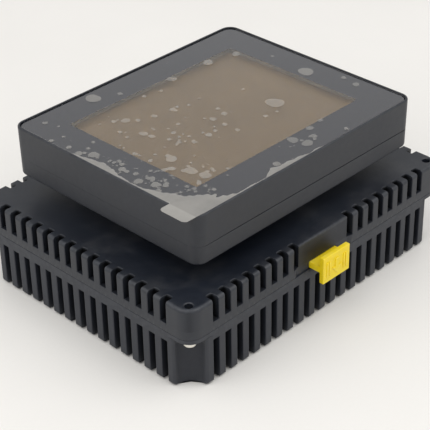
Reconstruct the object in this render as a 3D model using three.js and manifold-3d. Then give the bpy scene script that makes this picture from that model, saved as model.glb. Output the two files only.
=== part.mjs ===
// Small industrial touch panel: a 3.5 inch display module plugged by a round neck into a ventilated
// controller module that lies on its back. Millimetres, +Z up and out of the screen, +X the screen's
// right, +Y the screen's top edge, origin at the bottom centre of the controller module.
import * as THREE from 'three';
import { mergeVertices } from 'three/addons/utils/BufferGeometryUtils.js';
import Module from 'manifold-3d';

const wasm = await Module();
wasm.setup();

// ---------------------------------------------------------------- driving dimensions
const BASE = { w: 117, d: 93.5, corner: 5, split: 18.8, top: 29.4, topRound: 1.5, footRound: 1.6 };
const DISPLAY = {
  w: 98, d: 80.5, corner: 4.5, bottom: 36.6, top: 53.5, seam: 42.9, x: -1, topRound: 0.9, footRound: 0.8,
};
const GAP = 0.15; // half the clearance at a parting line
const CLEAR = 0.3; // clearance between a piece and its neighbour
const FAR = 70; // farther than any face of the object
const OVERRUN = 8; // length that a trimmed body is first made too long

const LONG_VENTS = { count: 20, pitch: 5.0 };
const SHORT_VENTS = { count: 15, pitch: 5.15 };
const VENT = { width: 2.4, coverDepth: 3.1, coverFloor: 21.8, finDepth: 4.2, finTop: 15.4 };
const BLANK_VENTS = [8, 9, 10, 11]; // places without a vent, above the lock slide
const POCKET = { halfWidth: 11.3, depth: 0.5 };

const COVER = { wall: 5.0, roof: 2.0, cavityCorner: 2 };
const HOUSING = { wall: 6.0, floor: 2.0 };
const LABEL = { x: 0, y: 24, w: 52, d: 24, seat: 0.5, border: 0.5, thick: 0.3 };
const CORNER_SCREW = {
  inset: 3.4, coverHole: 1.3, flangeHole: 1.6, shaft: 1.25,
  headR: 2.1, headZ: 15.5, headTop: 17.2, headRound: 0.7, recess: 0.9, tip: 28.6, point: 0.4,
};
const SCALLOP = { inset: 0.9, r: 5.85, top: 17.3 };

const BOARD = { w: 102, d: 78, bottom: 15.2, thick: 1.6, notch: 4 };
const POST = { x: 48, y: 24.5, r: 3 }; // board standoffs
const SEAT = 0.05; // solder gap between a board and what stands on it
const CHIP = { x: -30, y: 12, size: 17, height: 1.6 };
const CAPACITOR = { x: -40, y: -20, r: 4, height: 8.6, foot: 8.3, footHeight: 1 };
const INDUCTOR = { x: -26, y: -22, size: 10, height: 4 };
const CELL = { x: 30, y: 20, r: 10, thick: 3.2, lift: 0.9, holderR: 11.4, holderHeight: 3.4 };
const BUZZER = { x: 34, y: -16, r: 6, height: 5.5, soundHole: 1.2 };

const NECK = {
  outer: 11, inner: 8.7, bottom: 17.6, lead: 0.6, grooveR: 10, grooveLow: 18.7, grooveHigh: 21.3,
  flangeR: 15, flangeZ: 39.1, flangeThick: 2,
};
const NECK_PLUG = { w: 12, d: 5.6, bottom: 22.9, top: 43.2, pinCount: 5, pinPitch: 2, pinTip: 22 };
const NECK_SOCKET = { w: 14.4, d: 8, top: 26.9, wellW: 12.6, wellD: 6.2, wellFloor: 21.8 };
const KEY = { w: 4, y0: 11.5, y1: 13.6, z0: 33.7, z1: 38.4 };
const NUT = { outer: 15, lobes: 12, bottom: 29.8, top: 33.3, gripR: 1.6, gripReach: 15.8 };
const LOCK = {
  halfWidth: 6.15, travel: 3.3, endGap: 0.9, tongueZ: 18.95, tongueThick: 2.1,
  plateY: 50.2, plateThick: 2.0, plateZ: 15.2, plateTop: 24.5, edge: 0.3, corner: 0.5,
};
const GUIDE = { y0: 21, y1: 38, bottom: 17.4, thick: 1.6 };

const BACK_WALL = 2.4;
const BEZEL_WALL = 2.2;
const OVERLAY = { inset: 1.4, thick: 1.25, sink: 0.05 };
const LEDGE = { bottom: 51.2, top: 52.1 };
const WINDOW = { w: 76, d: 58.5 };
const DISPLAY_SCREW = {
  x: 44.2, y: 35.4, shaft: 1.1, headR: 2.2, headDepth: 1.5, headRound: 0.5, recess: 0.8, sink: 0.4,
  bossR: 2.9, tip: 48, point: 0.4,
};
const GASKET = { w: 82, d: 65, width: 3, seat: 1.1, proud: 0.9, corner: 4, innerCorner: 2.3 };
const FILM = {
  inset: 0.8, thick: 0.25, lift: 0.05, corner: 3, tabOut: 4.6, tabFrom: 28.9, tabRoot: 6, tabCorner: 1.6,
};
const LCD = { w: 76.9, d: 63.9, bottom: 49.4, top: 51.0 };
const TRAY = { w: 79, d: 66, wellW: 77.5, wellD: 64.5, bottom: 46.2, wellFloor: 49.2 };
const DISPLAY_BOARD = { w: 81, d: 68, bottom: 43.4, top: 44.9 };
const RIBBON = { x: 39.8, halfWidth: 9, thick: 0.3, foot: 2.1, bottom: 45.0, top: 50.2 };

// ---------------------------------------------------------------- finishes
const finish = (color, roughness, metalness = 0) =>
  new THREE.MeshStandardMaterial({ color, roughness, metalness });
const SHELL = { color: 0x3a3f46, roughness: 0.55 };
const shellPlastic = () => finish(SHELL.color, SHELL.roughness);
const steel = () => finish(0xc9c9c4, 0.3, 1);
const boardGreen = () => finish(0x1f5a3c, 0.5);
const blackPlastic = () => finish(0x17181a, 0.5);
const socketMetal = () => finish(0xb9bcc0, 0.35, 1);

// ---------------------------------------------------------------- solids
/** Turns a closed three.js geometry into a solid that can be joined and cut. */
function solid(geometry) {
  geometry.deleteAttribute('normal');
  geometry.deleteAttribute('uv');
  const merged = mergeVertices(geometry, 1e-4);
  return new wasm.Manifold(new wasm.Mesh({
    numProp: 3,
    vertProperties: new Float32Array(merged.attributes.position.array),
    triVerts: new Uint32Array(merged.index.array),
  }));
}

/** Turns a solid back into a named mesh. */
function piece(name, body, material) {
  const mesh = body.getMesh();
  const geometry = new THREE.BufferGeometry();
  geometry.setAttribute('position', new THREE.BufferAttribute(new Float32Array(mesh.vertProperties), 3));
  geometry.setIndex(new THREE.BufferAttribute(new Uint32Array(mesh.triVerts), 1));
  geometry.computeVertexNormals();
  const result = new THREE.Mesh(geometry, material);
  result.name = name;
  return result;
}

const join = (first, ...others) => others.reduce((whole, other) => whole.add(other), first);
const cut = (first, ...others) => others.reduce((whole, other) => whole.subtract(other), first);

/** A box between two corners. */
function block(x0, x1, y0, y1, z0, z1) {
  const box = new THREE.BoxGeometry(x1 - x0, y1 - y0, z1 - z0);
  box.translate((x0 + x1) / 2, (y0 + y1) / 2, (z0 + z1) / 2);
  return solid(box);
}

/** A box centred on x, y with a width and a depth. */
const slab = (x, y, w, d, z0, z1) => block(x - w / 2, x + w / 2, y - d / 2, y + d / 2, z0, z1);

/** A block wider than the object, that trims a body between two heights. */
const halfSpace = (z0, z1) => slab(0, 0, 3 * FAR, 3 * FAR, z0, z1);

/** A round bar standing on z0. */
function rod(x, y, r, z0, z1, sides = 24) {
  const bar = new THREE.CylinderGeometry(r, r, z1 - z0, sides);
  bar.rotateX(Math.PI / 2);
  bar.translate(x, y, (z0 + z1) / 2);
  return solid(bar);
}

/** A rectangle with round corners, centred on cx, cy. */
function roundedRectangle(w, d, r, cx = 0, cy = 0) {
  const x = w / 2;
  const y = d / 2;
  const outline = new THREE.Shape();
  outline.moveTo(cx - x + r, cy - y);
  outline.lineTo(cx + x - r, cy - y);
  outline.absarc(cx + x - r, cy - y + r, r, -Math.PI / 2, 0);
  outline.lineTo(cx + x, cy + y - r);
  outline.absarc(cx + x - r, cy + y - r, r, 0, Math.PI / 2);
  outline.lineTo(cx - x + r, cy + y);
  outline.absarc(cx - x + r, cy + y - r, r, Math.PI / 2, Math.PI);
  outline.lineTo(cx - x, cy - y + r);
  outline.absarc(cx - x + r, cy - y + r, r, Math.PI, 1.5 * Math.PI);
  return outline;
}

/** An outline raised from z0 to z1. */
function prism(outline, z0, z1, curveSegments = 5) {
  const raised = new THREE.ExtrudeGeometry(outline, { depth: z1 - z0, bevelEnabled: false, curveSegments });
  raised.translate(0, 0, z0);
  return solid(raised);
}

/** A raised outline whose top and bottom edges are rounded by r. */
function softPrism(outline, z0, z1, r, curveSegments = 5) {
  const raised = new THREE.ExtrudeGeometry(outline, {
    depth: z1 - z0 - 2 * r,
    bevelEnabled: true,
    bevelThickness: r,
    bevelSize: r,
    bevelOffset: -r,
    bevelSegments: 3,
    curveSegments,
  });
  raised.translate(0, 0, z0 + r);
  return solid(raised);
}

/** A box with round vertical edges. */
const pad = (x, y, w, d, r, z0, z1) => prism(roundedRectangle(w, d, r, x, y), z0, z1, 3);

/** The four sign pairs of a rectangle's corners. */
const CORNERS = [[1, 1], [-1, 1], [-1, -1], [1, -1]];

// ---------------------------------------------------------------- vents
/** The centres of evenly spaced vents along one side. */
const ventCentres = ({ count, pitch }) =>
  Array.from({ length: count }, (_, k) => ((count - 1) / 2 - k) * pitch);

/** One vent cutter that enters from the +Y side of a wall at y, with a round inner end. */
function ventCutter(x, wallY, depth, z0, z1) {
  const r = VENT.width / 2;
  const outline = new THREE.Shape();
  outline.moveTo(x + r, wallY + 1);
  outline.lineTo(x - r, wallY + 1);
  outline.lineTo(x - r, wallY - depth + r);
  outline.absarc(x, wallY - depth + r, r, Math.PI, 2 * Math.PI);
  return prism(outline, z0, z1, 3);
}

/** All vent cutters of a band around the controller module. */
function ventBand(depth, z0, z1, skipFront, skipBack) {
  const cutters = [];
  ventCentres(LONG_VENTS).forEach((x, k) => {
    if (!skipFront.includes(k)) cutters.push(ventCutter(x, BASE.d / 2, depth, z0, z1));
    if (!skipBack.includes(k)) cutters.push(ventCutter(x, BASE.d / 2, depth, z0, z1).mirror([0, 1, 0]));
  });
  ventCentres(SHORT_VENTS).forEach((y) => {
    const right = ventCutter(-y, BASE.w / 2, depth, z0, z1).rotate([0, 0, -90]);
    cutters.push(right, right.mirror([1, 0, 0]));
  });
  return cutters;
}

// ---------------------------------------------------------------- connector places on the -Y side
const SOCKET_FACE = -BASE.d / 2 + 1.2;
const SOCKETS = {
  power: { x: -38, w: 16.2, z0: 3.4, z1: 14.9, depth: 16.5 },
  serial: { x: -16, w: 16, z0: 2.9, z1: 14.9, depth: 18 },
  ethernet: { x: 4, w: 16, z0: 2.9, z1: 14.9, depth: 18 },
  usbHost: { x: 24, w: 14, z0: 8.0, z1: 14.9, depth: 14 },
  usbDevice: { x: 40, w: 8.4, z0: 10.6, z1: 14.9, depth: 9 },
};

// ---------------------------------------------------------------- controller module
/** The four places of something set in from the controller's corners. */
const baseCorners = (inset) =>
  CORNERS.map(([sx, sy]) => [sx * (BASE.w / 2 - inset), sy * (BASE.d / 2 - inset)]);

/** The four corner screws' axes. */
const screwAxes = baseCorners(CORNER_SCREW.inset);

function rearLowerHousing() {
  const outer = roundedRectangle(BASE.w, BASE.d, BASE.corner);
  const rim = BASE.split - GAP;
  const body = cut(softPrism(outer, 0, BASE.split + OVERRUN, BASE.footRound, 6), halfSpace(rim, FAR));
  const cavity = slab(0, 0, BASE.w - 2 * HOUSING.wall, BASE.d - 2 * HOUSING.wall, HOUSING.floor, BASE.top);
  const seatW = LABEL.w + 2 * LABEL.border;
  const labelSeat = pad(LABEL.x, LABEL.y, seatW, LABEL.d + 2 * LABEL.border, 1.5, -1, LABEL.seat);
  const windowBack = -BASE.d / 2 + HOUSING.wall + 1;
  const windows = Object.values(SOCKETS).map(({ x, w, z0, z1 }) =>
    block(x - w / 2 - CLEAR, x + w / 2 + CLEAR, -FAR, windowBack, z0 - CLEAR, z1 + CLEAR));
  const connectorSide = ventCentres(LONG_VENTS).map((_, k) => k).slice(1, -1);
  const fins = ventBand(VENT.finDepth, -1, VENT.finTop, [], connectorSide);
  const scallops = baseCorners(SCALLOP.inset).map(([x, y]) => rod(x, y, SCALLOP.r, -1, SCALLOP.top, 32));
  const holes = screwAxes.map(([x, y]) => rod(x, y, CORNER_SCREW.flangeHole, SCALLOP.top - 1, FAR, 12));
  const posts = CORNERS.map(([sx, sy]) => rod(sx * POST.x, sy * POST.y, POST.r, 1, BOARD.bottom - GAP, 10));
  const shell = cut(body, cavity, labelSeat, ...windows, ...fins, ...scallops, ...holes);
  return piece('rear_lower_housing', join(shell, ...posts), shellPlastic());
}

/** One of the two L-shaped rails under the cover's roof that carry the lock slide's tongue. */
function lockGuide(side) {
  const wall = LOCK.halfWidth + CLEAR;
  const lip = LOCK.halfWidth - GUIDE.thick;
  const back = wall + GUIDE.thick;
  const right = join(
    block(wall, back, GUIDE.y0, GUIDE.y1, GUIDE.bottom, BASE.top - 1),
    block(lip, back, GUIDE.y0, GUIDE.y1, GUIDE.bottom, LOCK.tongueZ - CLEAR),
  );
  return side > 0 ? right : right.mirror([1, 0, 0]);
}

function rearTopCover() {
  const outer = roundedRectangle(BASE.w, BASE.d, BASE.corner);
  const rim = BASE.split + GAP;
  const body = cut(softPrism(outer, rim - OVERRUN, BASE.top, BASE.topRound, 6), halfSpace(-FAR, rim));
  const cavityW = BASE.w - 2 * COVER.wall;
  const cavity = pad(0, 0, cavityW, BASE.d - 2 * COVER.wall, COVER.cavityCorner, 0, BASE.top - COVER.roof);
  const neckHole = rod(DISPLAY.x, 0, NECK.outer + CLEAR, 0, FAR, 40);
  const pocket = block(-POCKET.halfWidth, POCKET.halfWidth, BASE.d / 2 - POCKET.depth, FAR, 0, FAR);
  const mouth = LOCK.halfWidth + CLEAR;
  const lockMouth = block(-mouth, mouth, GUIDE.y1 - 1, FAR, 0, LOCK.tongueZ + LOCK.tongueThick + CLEAR);
  const holes = screwAxes.map(([x, y]) => rod(x, y, CORNER_SCREW.coverHole, 0, FAR, 16));
  const vents = ventBand(VENT.coverDepth, VENT.coverFloor, FAR, BLANK_VENTS, []);
  const shell = cut(body, cavity, neckHole, pocket, lockMouth, ...holes, ...vents);
  return piece('rear_top_cover', join(shell, lockGuide(1), lockGuide(-1)), shellPlastic());
}

/** A screw turned about Z with its head down, from a profile of [radius, height] pairs. */
function screw(name, [x, y], profile, sides) {
  const turned = new THREE.LatheGeometry(profile.map(([r, z]) => new THREE.Vector2(r, z)), sides);
  turned.rotateX(Math.PI / 2);
  turned.translate(x, y, 0);
  return piece(name, solid(turned), steel());
}

function coverScrew(index) {
  const { headR, headZ, headTop, headRound, recess, shaft, tip, point } = CORNER_SCREW;
  return screw(`cover_screw_${index + 1}`, screwAxes[index], [
    [0, headZ + recess], [recess, headZ + recess], [recess, headZ], [headR - headRound, headZ],
    [headR, headZ + headRound], [headR, headTop], [shaft, headTop], [shaft, tip - point], [0, tip],
  ], 16);
}

function mainBoard() {
  const plate = slab(0, 0, BOARD.w, BOARD.d, BOARD.bottom, BOARD.bottom + BOARD.thick);
  const notch = 2 * BOARD.notch;
  const notches = CORNERS.map(([sx, sy]) => slab(sx * BOARD.w / 2, sy * BOARD.d / 2, notch, notch, 0, FAR));
  return piece('main_board', cut(plate, ...notches), boardGreen());
}

const boardTop = BOARD.bottom + BOARD.thick + SEAT;

function processor() {
  const { x, y, size, height } = CHIP;
  return piece('processor', pad(x, y, size, size, 0.5, boardTop, boardTop + height), blackPlastic());
}

function supplyCapacitor() {
  const { x, y, r, height, foot, footHeight } = CAPACITOR;
  const can = rod(x, y, r, boardTop, boardTop + height, 20);
  const base = slab(x, y, foot, foot, boardTop, boardTop + footHeight);
  return piece('supply_capacitor', join(can, base), finish(0x4a4d52, 0.35, 0.6));
}

function supplyInductor() {
  const { x, y, size, height } = INDUCTOR;
  const can = pad(x, y, size, size, 2, boardTop, boardTop + height);
  return piece('supply_inductor', can, finish(0x2b2c2e, 0.6));
}

function clockBattery() {
  const low = boardTop + CELL.lift;
  return piece('clock_battery', rod(CELL.x, CELL.y, CELL.r, low, low + CELL.thick, 32), steel());
}

function batteryHolder() {
  const ring = rod(CELL.x, CELL.y, CELL.holderR, boardTop, boardTop + CELL.holderHeight, 32);
  const well = rod(CELL.x, CELL.y, CELL.r + CLEAR, boardTop + CELL.lift - CLEAR, FAR, 32);
  return piece('battery_holder', cut(ring, well), blackPlastic());
}

function buzzer() {
  const { x, y, r, height, soundHole } = BUZZER;
  const can = rod(x, y, r, boardTop, boardTop + height, 24);
  return piece('buzzer', cut(can, rod(x, y, soundHole, boardTop + height - 1.5, FAR, 10)), blackPlastic());
}

/** The body of a socket that hangs under the board and faces -Y. */
const socketBody = ({ x, w, z0, z1, depth }) =>
  block(x - w / 2, x + w / 2, SOCKET_FACE, SOCKET_FACE + depth, z0, z1);

/** A cutter or tongue centred on a socket: half its width, its depths from the socket's face, its heights. */
const inSocket = (x, half, from, to, z0, z1) =>
  block(x - half, x + half, SOCKET_FACE + from, SOCKET_FACE + to, z0, z1);

/** A shielded modular socket that opens to -Y, with its latch slot below and its contacts above. */
function modularSocket(name, place) {
  const { x } = place;
  const middle = (place.z0 + place.z1) / 2;
  const mouth = inSocket(x, 5.9, -1, 12, middle - 3.8, middle + 3);
  const latch = inSocket(x, 3.2, -1, 12, middle - 5.1, middle);
  const contacts = inSocket(x, 4.2, 7, 13, middle + 1.4, middle + 3.5);
  return piece(name, join(cut(socketBody(place), mouth, latch), contacts), socketMetal());
}

/** A flat socket that opens to -Y round a tongue. */
function flatSocket(name, place, mouth, tongue) {
  const { x } = place;
  const middle = (place.z0 + place.z1) / 2;
  const hollow = inSocket(x, mouth.half, -1, mouth.depth, middle - mouth.low, middle + mouth.low);
  const { half, from, low, high } = tongue;
  const blade = inSocket(x, half, from, mouth.depth + 1, middle + low, middle + high);
  return piece(name, join(cut(socketBody(place), hollow), blade), socketMetal());
}

const usbHostSocket = () => flatSocket('usb_host_socket', SOCKETS.usbHost,
  { half: 6.25, depth: 11, low: 2.55 }, { half: 5.6, from: 2, low: 0.2, high: 2 });

const usbDeviceSocket = () => flatSocket('usb_device_socket', SOCKETS.usbDevice,
  { half: 3.5, depth: 7, low: 1.5 }, { half: 2.6, from: 1, low: -0.3, high: 0.4 });

/** A three-pin header, open to -Y, that takes a plug-in terminal block. */
function powerInlet() {
  const place = SOCKETS.power;
  const wall = 0.7;
  const depth = 8.3;
  const pitch = 5.08;
  const pin = { half: 0.5, from: 3.8, z: 8.6 };
  const mouth = inSocket(place.x, place.w / 2 - wall, -1, depth, place.z0 + wall, place.z1 - wall);
  const pins = [-1, 0, 1].map((k) =>
    inSocket(place.x + k * pitch, pin.half, pin.from, depth + 1, pin.z, pin.z + 2 * pin.half));
  return piece('power_inlet', join(cut(socketBody(place), mouth), ...pins), blackPlastic());
}

// ---------------------------------------------------------------- neck socket, lock slide, label
function neckSocket() {
  const { w, d, top, wellW, wellD, wellFloor } = NECK_SOCKET;
  const shell = slab(DISPLAY.x, 0, w, d, boardTop, top);
  return piece('neck_socket', cut(shell, slab(DISPLAY.x, 0, wellW, wellD, wellFloor, FAR)), blackPlastic());
}

/** A face plate outside the wall and a tongue that reaches in towards the groove of the neck. */
function lockSlide() {
  const { halfWidth, travel, endGap, tongueZ, tongueThick } = LOCK;
  const { plateY, plateThick, plateZ, plateTop, edge, corner } = LOCK;
  const plate = new THREE.ExtrudeGeometry(roundedRectangle(2 * halfWidth, plateTop - plateZ, corner), {
    depth: plateThick - 2 * edge,
    bevelEnabled: true,
    bevelThickness: edge,
    bevelSize: edge,
    bevelOffset: -edge,
    bevelSegments: 2,
    curveSegments: 3,
  });
  plate.rotateX(Math.PI / 2);
  plate.translate(0, plateY + plateThick - edge, (plateZ + plateTop) / 2);
  const tongue = block(-halfWidth, halfWidth, 0, plateY + 0.5, tongueZ, tongueZ + tongueThick);
  const behind = block(-FAR, FAR, -FAR, NECK.outer + endGap + travel, 0, FAR);
  const lightening = block(-halfWidth / 2, halfWidth / 2, 24, GUIDE.y1, 0, FAR);
  return piece('lock_slide', join(solid(plate), cut(tongue, behind, lightening)), finish(0xf3d60a, 0.45));
}

function ratingLabel() {
  const { x, y, w, d, thick } = LABEL;
  return piece('rating_label', pad(x, y, w, d, 1, 0.1, 0.1 + thick), finish(0xc8c8c2, 0.5));
}

// ---------------------------------------------------------------- display module
const displayOutline = (inset, r) =>
  roundedRectangle(DISPLAY.w - 2 * inset, DISPLAY.d - 2 * inset, r, DISPLAY.x, 0);
const displayScrewAxes = CORNERS.map(([sx, sy]) => [DISPLAY.x + sx * DISPLAY_SCREW.x, sy * DISPLAY_SCREW.y]);
const displayCavity = (z0, z1) => prism(displayOutline(BEZEL_WALL, DISPLAY.corner - 1.6), z0, z1, 4);

function frontBezel() {
  const rim = DISPLAY.seam + GAP;
  const { bossR, shaft } = DISPLAY_SCREW;
  const body = cut(
    softPrism(displayOutline(0, DISPLAY.corner), rim - OVERRUN, DISPLAY.top, DISPLAY.topRound, 6),
    halfSpace(-FAR, rim),
  );
  const seat = prism(displayOutline(OVERLAY.inset - GAP, DISPLAY.corner - 1), LEDGE.top, FAR, 5);
  const window = slab(DISPLAY.x, 0, WINDOW.w, WINDOW.d, 0, FAR);
  const shell = cut(body, seat, displayCavity(0, LEDGE.bottom), window);
  const bosses = displayScrewAxes.map(([x, y]) => rod(x, y, bossR, rim, LEDGE.bottom + 0.4, 14));
  const threads = displayScrewAxes.map(([x, y]) => rod(x, y, shaft + GAP, 0, LEDGE.bottom - 1, 10));
  return piece('front_bezel', cut(join(shell, ...bosses), ...threads), shellPlastic());
}

function displayBackShell() {
  const rim = DISPLAY.seam - GAP;
  const floor = DISPLAY.bottom + BACK_WALL;
  const { bossR, shaft, headR, headDepth, sink } = DISPLAY_SCREW;
  const body = cut(
    softPrism(displayOutline(0, DISPLAY.corner), DISPLAY.bottom, rim + OVERRUN, DISPLAY.footRound, 6),
    halfSpace(rim, FAR),
  );
  const posts = displayScrewAxes.map(([x, y]) => rod(x, y, bossR, floor - 0.5, rim, 14));
  const shell = join(cut(body, displayCavity(floor, FAR)), ...posts);
  const holes = displayScrewAxes.flatMap(([x, y]) => [
    rod(x, y, shaft + CLEAR, 0, FAR, 10),
    rod(x, y, headR + CLEAR, 0, DISPLAY.bottom + sink + headDepth + 0.1, 16),
  ]);
  const neckHole = rod(DISPLAY.x, 0, NECK.outer + CLEAR, 0, FAR, 32);
  const keyHalf = KEY.w / 2 + CLEAR;
  const keySlot = block(DISPLAY.x - keyHalf, DISPLAY.x + keyHalf, 10, KEY.y1 + CLEAR, 0, KEY.z1 + CLEAR);
  const { w, d, width, seat, corner, innerCorner } = GASKET;
  const grooveTop = DISPLAY.bottom + seat;
  const land = 2 * (width + CLEAR);
  const core = pad(DISPLAY.x, 0, w - land, d - land, innerCorner, -1, grooveTop + 1);
  const groove = cut(pad(DISPLAY.x, 0, w + 2 * CLEAR, d + 2 * CLEAR, corner, 0, grooveTop), core);
  return piece('display_back_shell', cut(shell, ...holes, neckHole, keySlot, groove), shellPlastic());
}

function displayScrew(index) {
  const { headR, headDepth, headRound, recess, sink, shaft, tip, point } = DISPLAY_SCREW;
  const low = DISPLAY.bottom + sink;
  return screw(`display_screw_${index + 1}`, displayScrewAxes[index], [
    [0, low + recess], [recess, low + recess], [recess, low], [headR - headRound, low],
    [headR, low + headRound], [headR, low + headDepth], [shaft, low + headDepth],
    [shaft, tip], [0, tip + point],
  ], 14);
}

function touchOverlay() {
  const top = DISPLAY.top - OVERLAY.sink;
  const sheet = prism(displayOutline(OVERLAY.inset, DISPLAY.corner - 1.2), top - OVERLAY.thick, top, 5);
  return piece('touch_overlay', sheet, finish(0x2c2c2e, 0.15));
}

/** A thin sheet over the whole front, with a pull tab that overhangs its +X edge at the +Y corner. */
function protectiveFilm() {
  const { inset, thick, lift, tabOut, tabFrom, tabRoot, corner, tabCorner } = FILM;
  const right = DISPLAY.x + DISPLAY.w / 2 - inset;
  const back = DISPLAY.d / 2 - inset;
  const low = DISPLAY.top + lift;
  const sheet = prism(displayOutline(inset, corner), low, low + thick, 4);
  const tabX = right + (tabOut - tabRoot) / 2;
  const tab = pad(tabX, (back + tabFrom) / 2, tabOut + tabRoot, back - tabFrom, tabCorner, low, low + thick);
  return piece('protective_film', join(sheet, tab), finish(0x8f8f8c, 0.25));
}

function lcdPanel() {
  return piece('lcd_panel', slab(DISPLAY.x, 0, LCD.w, LCD.d, LCD.bottom, LCD.top), finish(0x8d8272, 0.2));
}

function backlightTray() {
  const { w, d, wellW, wellD, bottom, wellFloor } = TRAY;
  const tray = slab(DISPLAY.x, 0, w, d, bottom, LCD.top);
  return piece('backlight_tray', cut(tray, slab(DISPLAY.x, 0, wellW, wellD, wellFloor, FAR)), socketMetal());
}

function displayBoard() {
  const { w, d, bottom, top } = DISPLAY_BOARD;
  return piece('display_board', slab(DISPLAY.x, 0, w, d, bottom, top), boardGreen());
}

function screenRibbon() {
  const { halfWidth, thick, foot, bottom, top } = RIBBON;
  const x = DISPLAY.x + RIBBON.x;
  const ribbon = join(
    block(x, x + thick, -halfWidth, halfWidth, bottom, top),
    block(x, x + foot, -halfWidth, halfWidth, bottom, bottom + thick),
  );
  return piece('screen_ribbon', ribbon, finish(0xb5762c, 0.4));
}

function panelGasket() {
  const { w, d, width, seat, proud, corner, innerCorner } = GASKET;
  const low = DISPLAY.bottom - proud;
  const high = DISPLAY.bottom + seat - 0.1;
  const hollow = pad(DISPLAY.x, 0, w - 2 * width, d - 2 * width, innerCorner, 0, FAR);
  const ring = cut(pad(DISPLAY.x, 0, w, d, corner, low, high), hollow);
  return piece('panel_gasket', ring, finish(0x1b1c1e, 0.85));
}

/** A tube with a flange inside the display and a groove near its lower end, where the lock slide points. */
function neckTube() {
  const { outer, inner, bottom, grooveR, grooveLow, grooveHigh, flangeR, flangeZ, flangeThick, lead } = NECK;
  const top = flangeZ + flangeThick;
  const profile = [
    [inner, bottom], [outer - lead, bottom], [outer, bottom + lead], [outer, grooveLow],
    [grooveR, grooveLow], [grooveR, grooveHigh], [outer, grooveHigh], [outer, flangeZ],
    [flangeR, flangeZ], [flangeR, top], [inner, top], [inner, bottom],
  ];
  const turned = new THREE.LatheGeometry(profile.map(([r, z]) => new THREE.Vector2(r, z)), 40);
  turned.rotateX(Math.PI / 2);
  turned.translate(DISPLAY.x, 0, 0);
  return piece('neck_tube', solid(turned), shellPlastic());
}

function neckConnector() {
  const { w, d, bottom, top, pinCount, pinPitch, pinTip } = NECK_PLUG;
  const body = slab(DISPLAY.x, 0, w, d, bottom, top);
  const slots = Array.from({ length: pinCount }, (_, k) =>
    slab(DISPLAY.x + (k - (pinCount - 1) / 2) * pinPitch, 0, 1, 3, pinTip, bottom + 1));
  return piece('neck_connector', cut(body, ...slots), blackPlastic());
}

function rotationKey() {
  const { w, y0, y1, z0, z1 } = KEY;
  return piece('rotation_key', block(DISPLAY.x - w / 2, DISPLAY.x + w / 2, y0, y1, z0, z1), blackPlastic());
}

/** A ring nut with shallow finger grips round its rim. */
function fixingNut() {
  const body = rod(DISPLAY.x, 0, NUT.outer, NUT.bottom, NUT.top, 48);
  const bore = rod(DISPLAY.x, 0, NECK.outer + CLEAR, 0, FAR, 40);
  const grips = Array.from({ length: NUT.lobes }, (_, k) => {
    const angle = (k + 0.5) * 2 * Math.PI / NUT.lobes;
    const x = DISPLAY.x + NUT.gripReach * Math.cos(angle);
    return rod(x, NUT.gripReach * Math.sin(angle), NUT.gripR, 0, FAR, 12);
  });
  return piece('fixing_nut', cut(body, bore, ...grips), blackPlastic());
}

// ---------------------------------------------------------------- assembly
const controller = new THREE.Group();
controller.add(
  rearLowerHousing(),
  rearTopCover(),
  ...CORNERS.map((_, k) => coverScrew(k)),
  mainBoard(),
  processor(),
  supplyCapacitor(),
  supplyInductor(),
  clockBattery(),
  batteryHolder(),
  buzzer(),
  powerInlet(),
  modularSocket('serial_socket', SOCKETS.serial),
  modularSocket('ethernet_socket', SOCKETS.ethernet),
  usbHostSocket(),
  usbDeviceSocket(),
  neckSocket(),
  lockSlide(),
  ratingLabel(),
);

const display = new THREE.Group();
display.add(
  frontBezel(),
  displayBackShell(),
  ...CORNERS.map((_, k) => displayScrew(k)),
  touchOverlay(),
  protectiveFilm(),
  lcdPanel(),
  backlightTray(),
  displayBoard(),
  screenRibbon(),
  panelGasket(),
  neckTube(),
  neckConnector(),
  rotationKey(),
  fixingNut(),
);

const touchPanel = new THREE.Group();
touchPanel.add(controller, display);

export default touchPanel;
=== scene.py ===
"""A small industrial touch panel: a display module on a round neck over a finned controller module.

Sizes inside the classes are millimetres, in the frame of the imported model: +Z out of the screen, +X the
screen's right, +Y its top edge. Every surface is worked out with numpy as rings of points, and every
finish is a node material on Object coordinates.
"""
import logging
import math
from dataclasses import dataclass, field
from enum import Enum
from typing import Optional, Sequence

import bmesh
import bpy
import numpy as np
from mathutils import Matrix, Vector


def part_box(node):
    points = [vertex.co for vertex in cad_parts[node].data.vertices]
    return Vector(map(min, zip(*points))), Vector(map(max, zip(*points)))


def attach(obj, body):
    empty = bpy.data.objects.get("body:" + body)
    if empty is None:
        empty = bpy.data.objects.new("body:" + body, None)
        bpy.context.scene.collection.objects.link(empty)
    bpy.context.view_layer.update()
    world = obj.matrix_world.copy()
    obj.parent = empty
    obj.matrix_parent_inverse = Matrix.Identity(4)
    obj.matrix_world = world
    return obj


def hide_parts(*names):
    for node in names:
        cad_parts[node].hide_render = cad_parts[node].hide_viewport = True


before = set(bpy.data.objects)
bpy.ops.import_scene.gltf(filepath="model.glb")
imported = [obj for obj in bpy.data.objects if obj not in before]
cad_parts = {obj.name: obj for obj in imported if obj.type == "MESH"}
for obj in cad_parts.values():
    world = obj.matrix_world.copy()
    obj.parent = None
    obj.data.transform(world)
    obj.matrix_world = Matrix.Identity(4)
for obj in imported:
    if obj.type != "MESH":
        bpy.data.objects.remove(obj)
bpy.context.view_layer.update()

MM = 0.001
FULL = 99.0  # deeper than any slot: a ring with this limit shows its slots at their whole depth
SEED = 20
LOG = logging.getLogger("touch_panel")


class Body(Enum):
    """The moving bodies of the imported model."""

    CONTROLLER = "controller"
    LOCK = "lock"
    DISPLAY = "display"
    NUT = "nut"


class Operation(Enum):
    """What a tool body does to a piece."""

    CUT = "DIFFERENCE"
    JOIN = "UNION"


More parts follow.
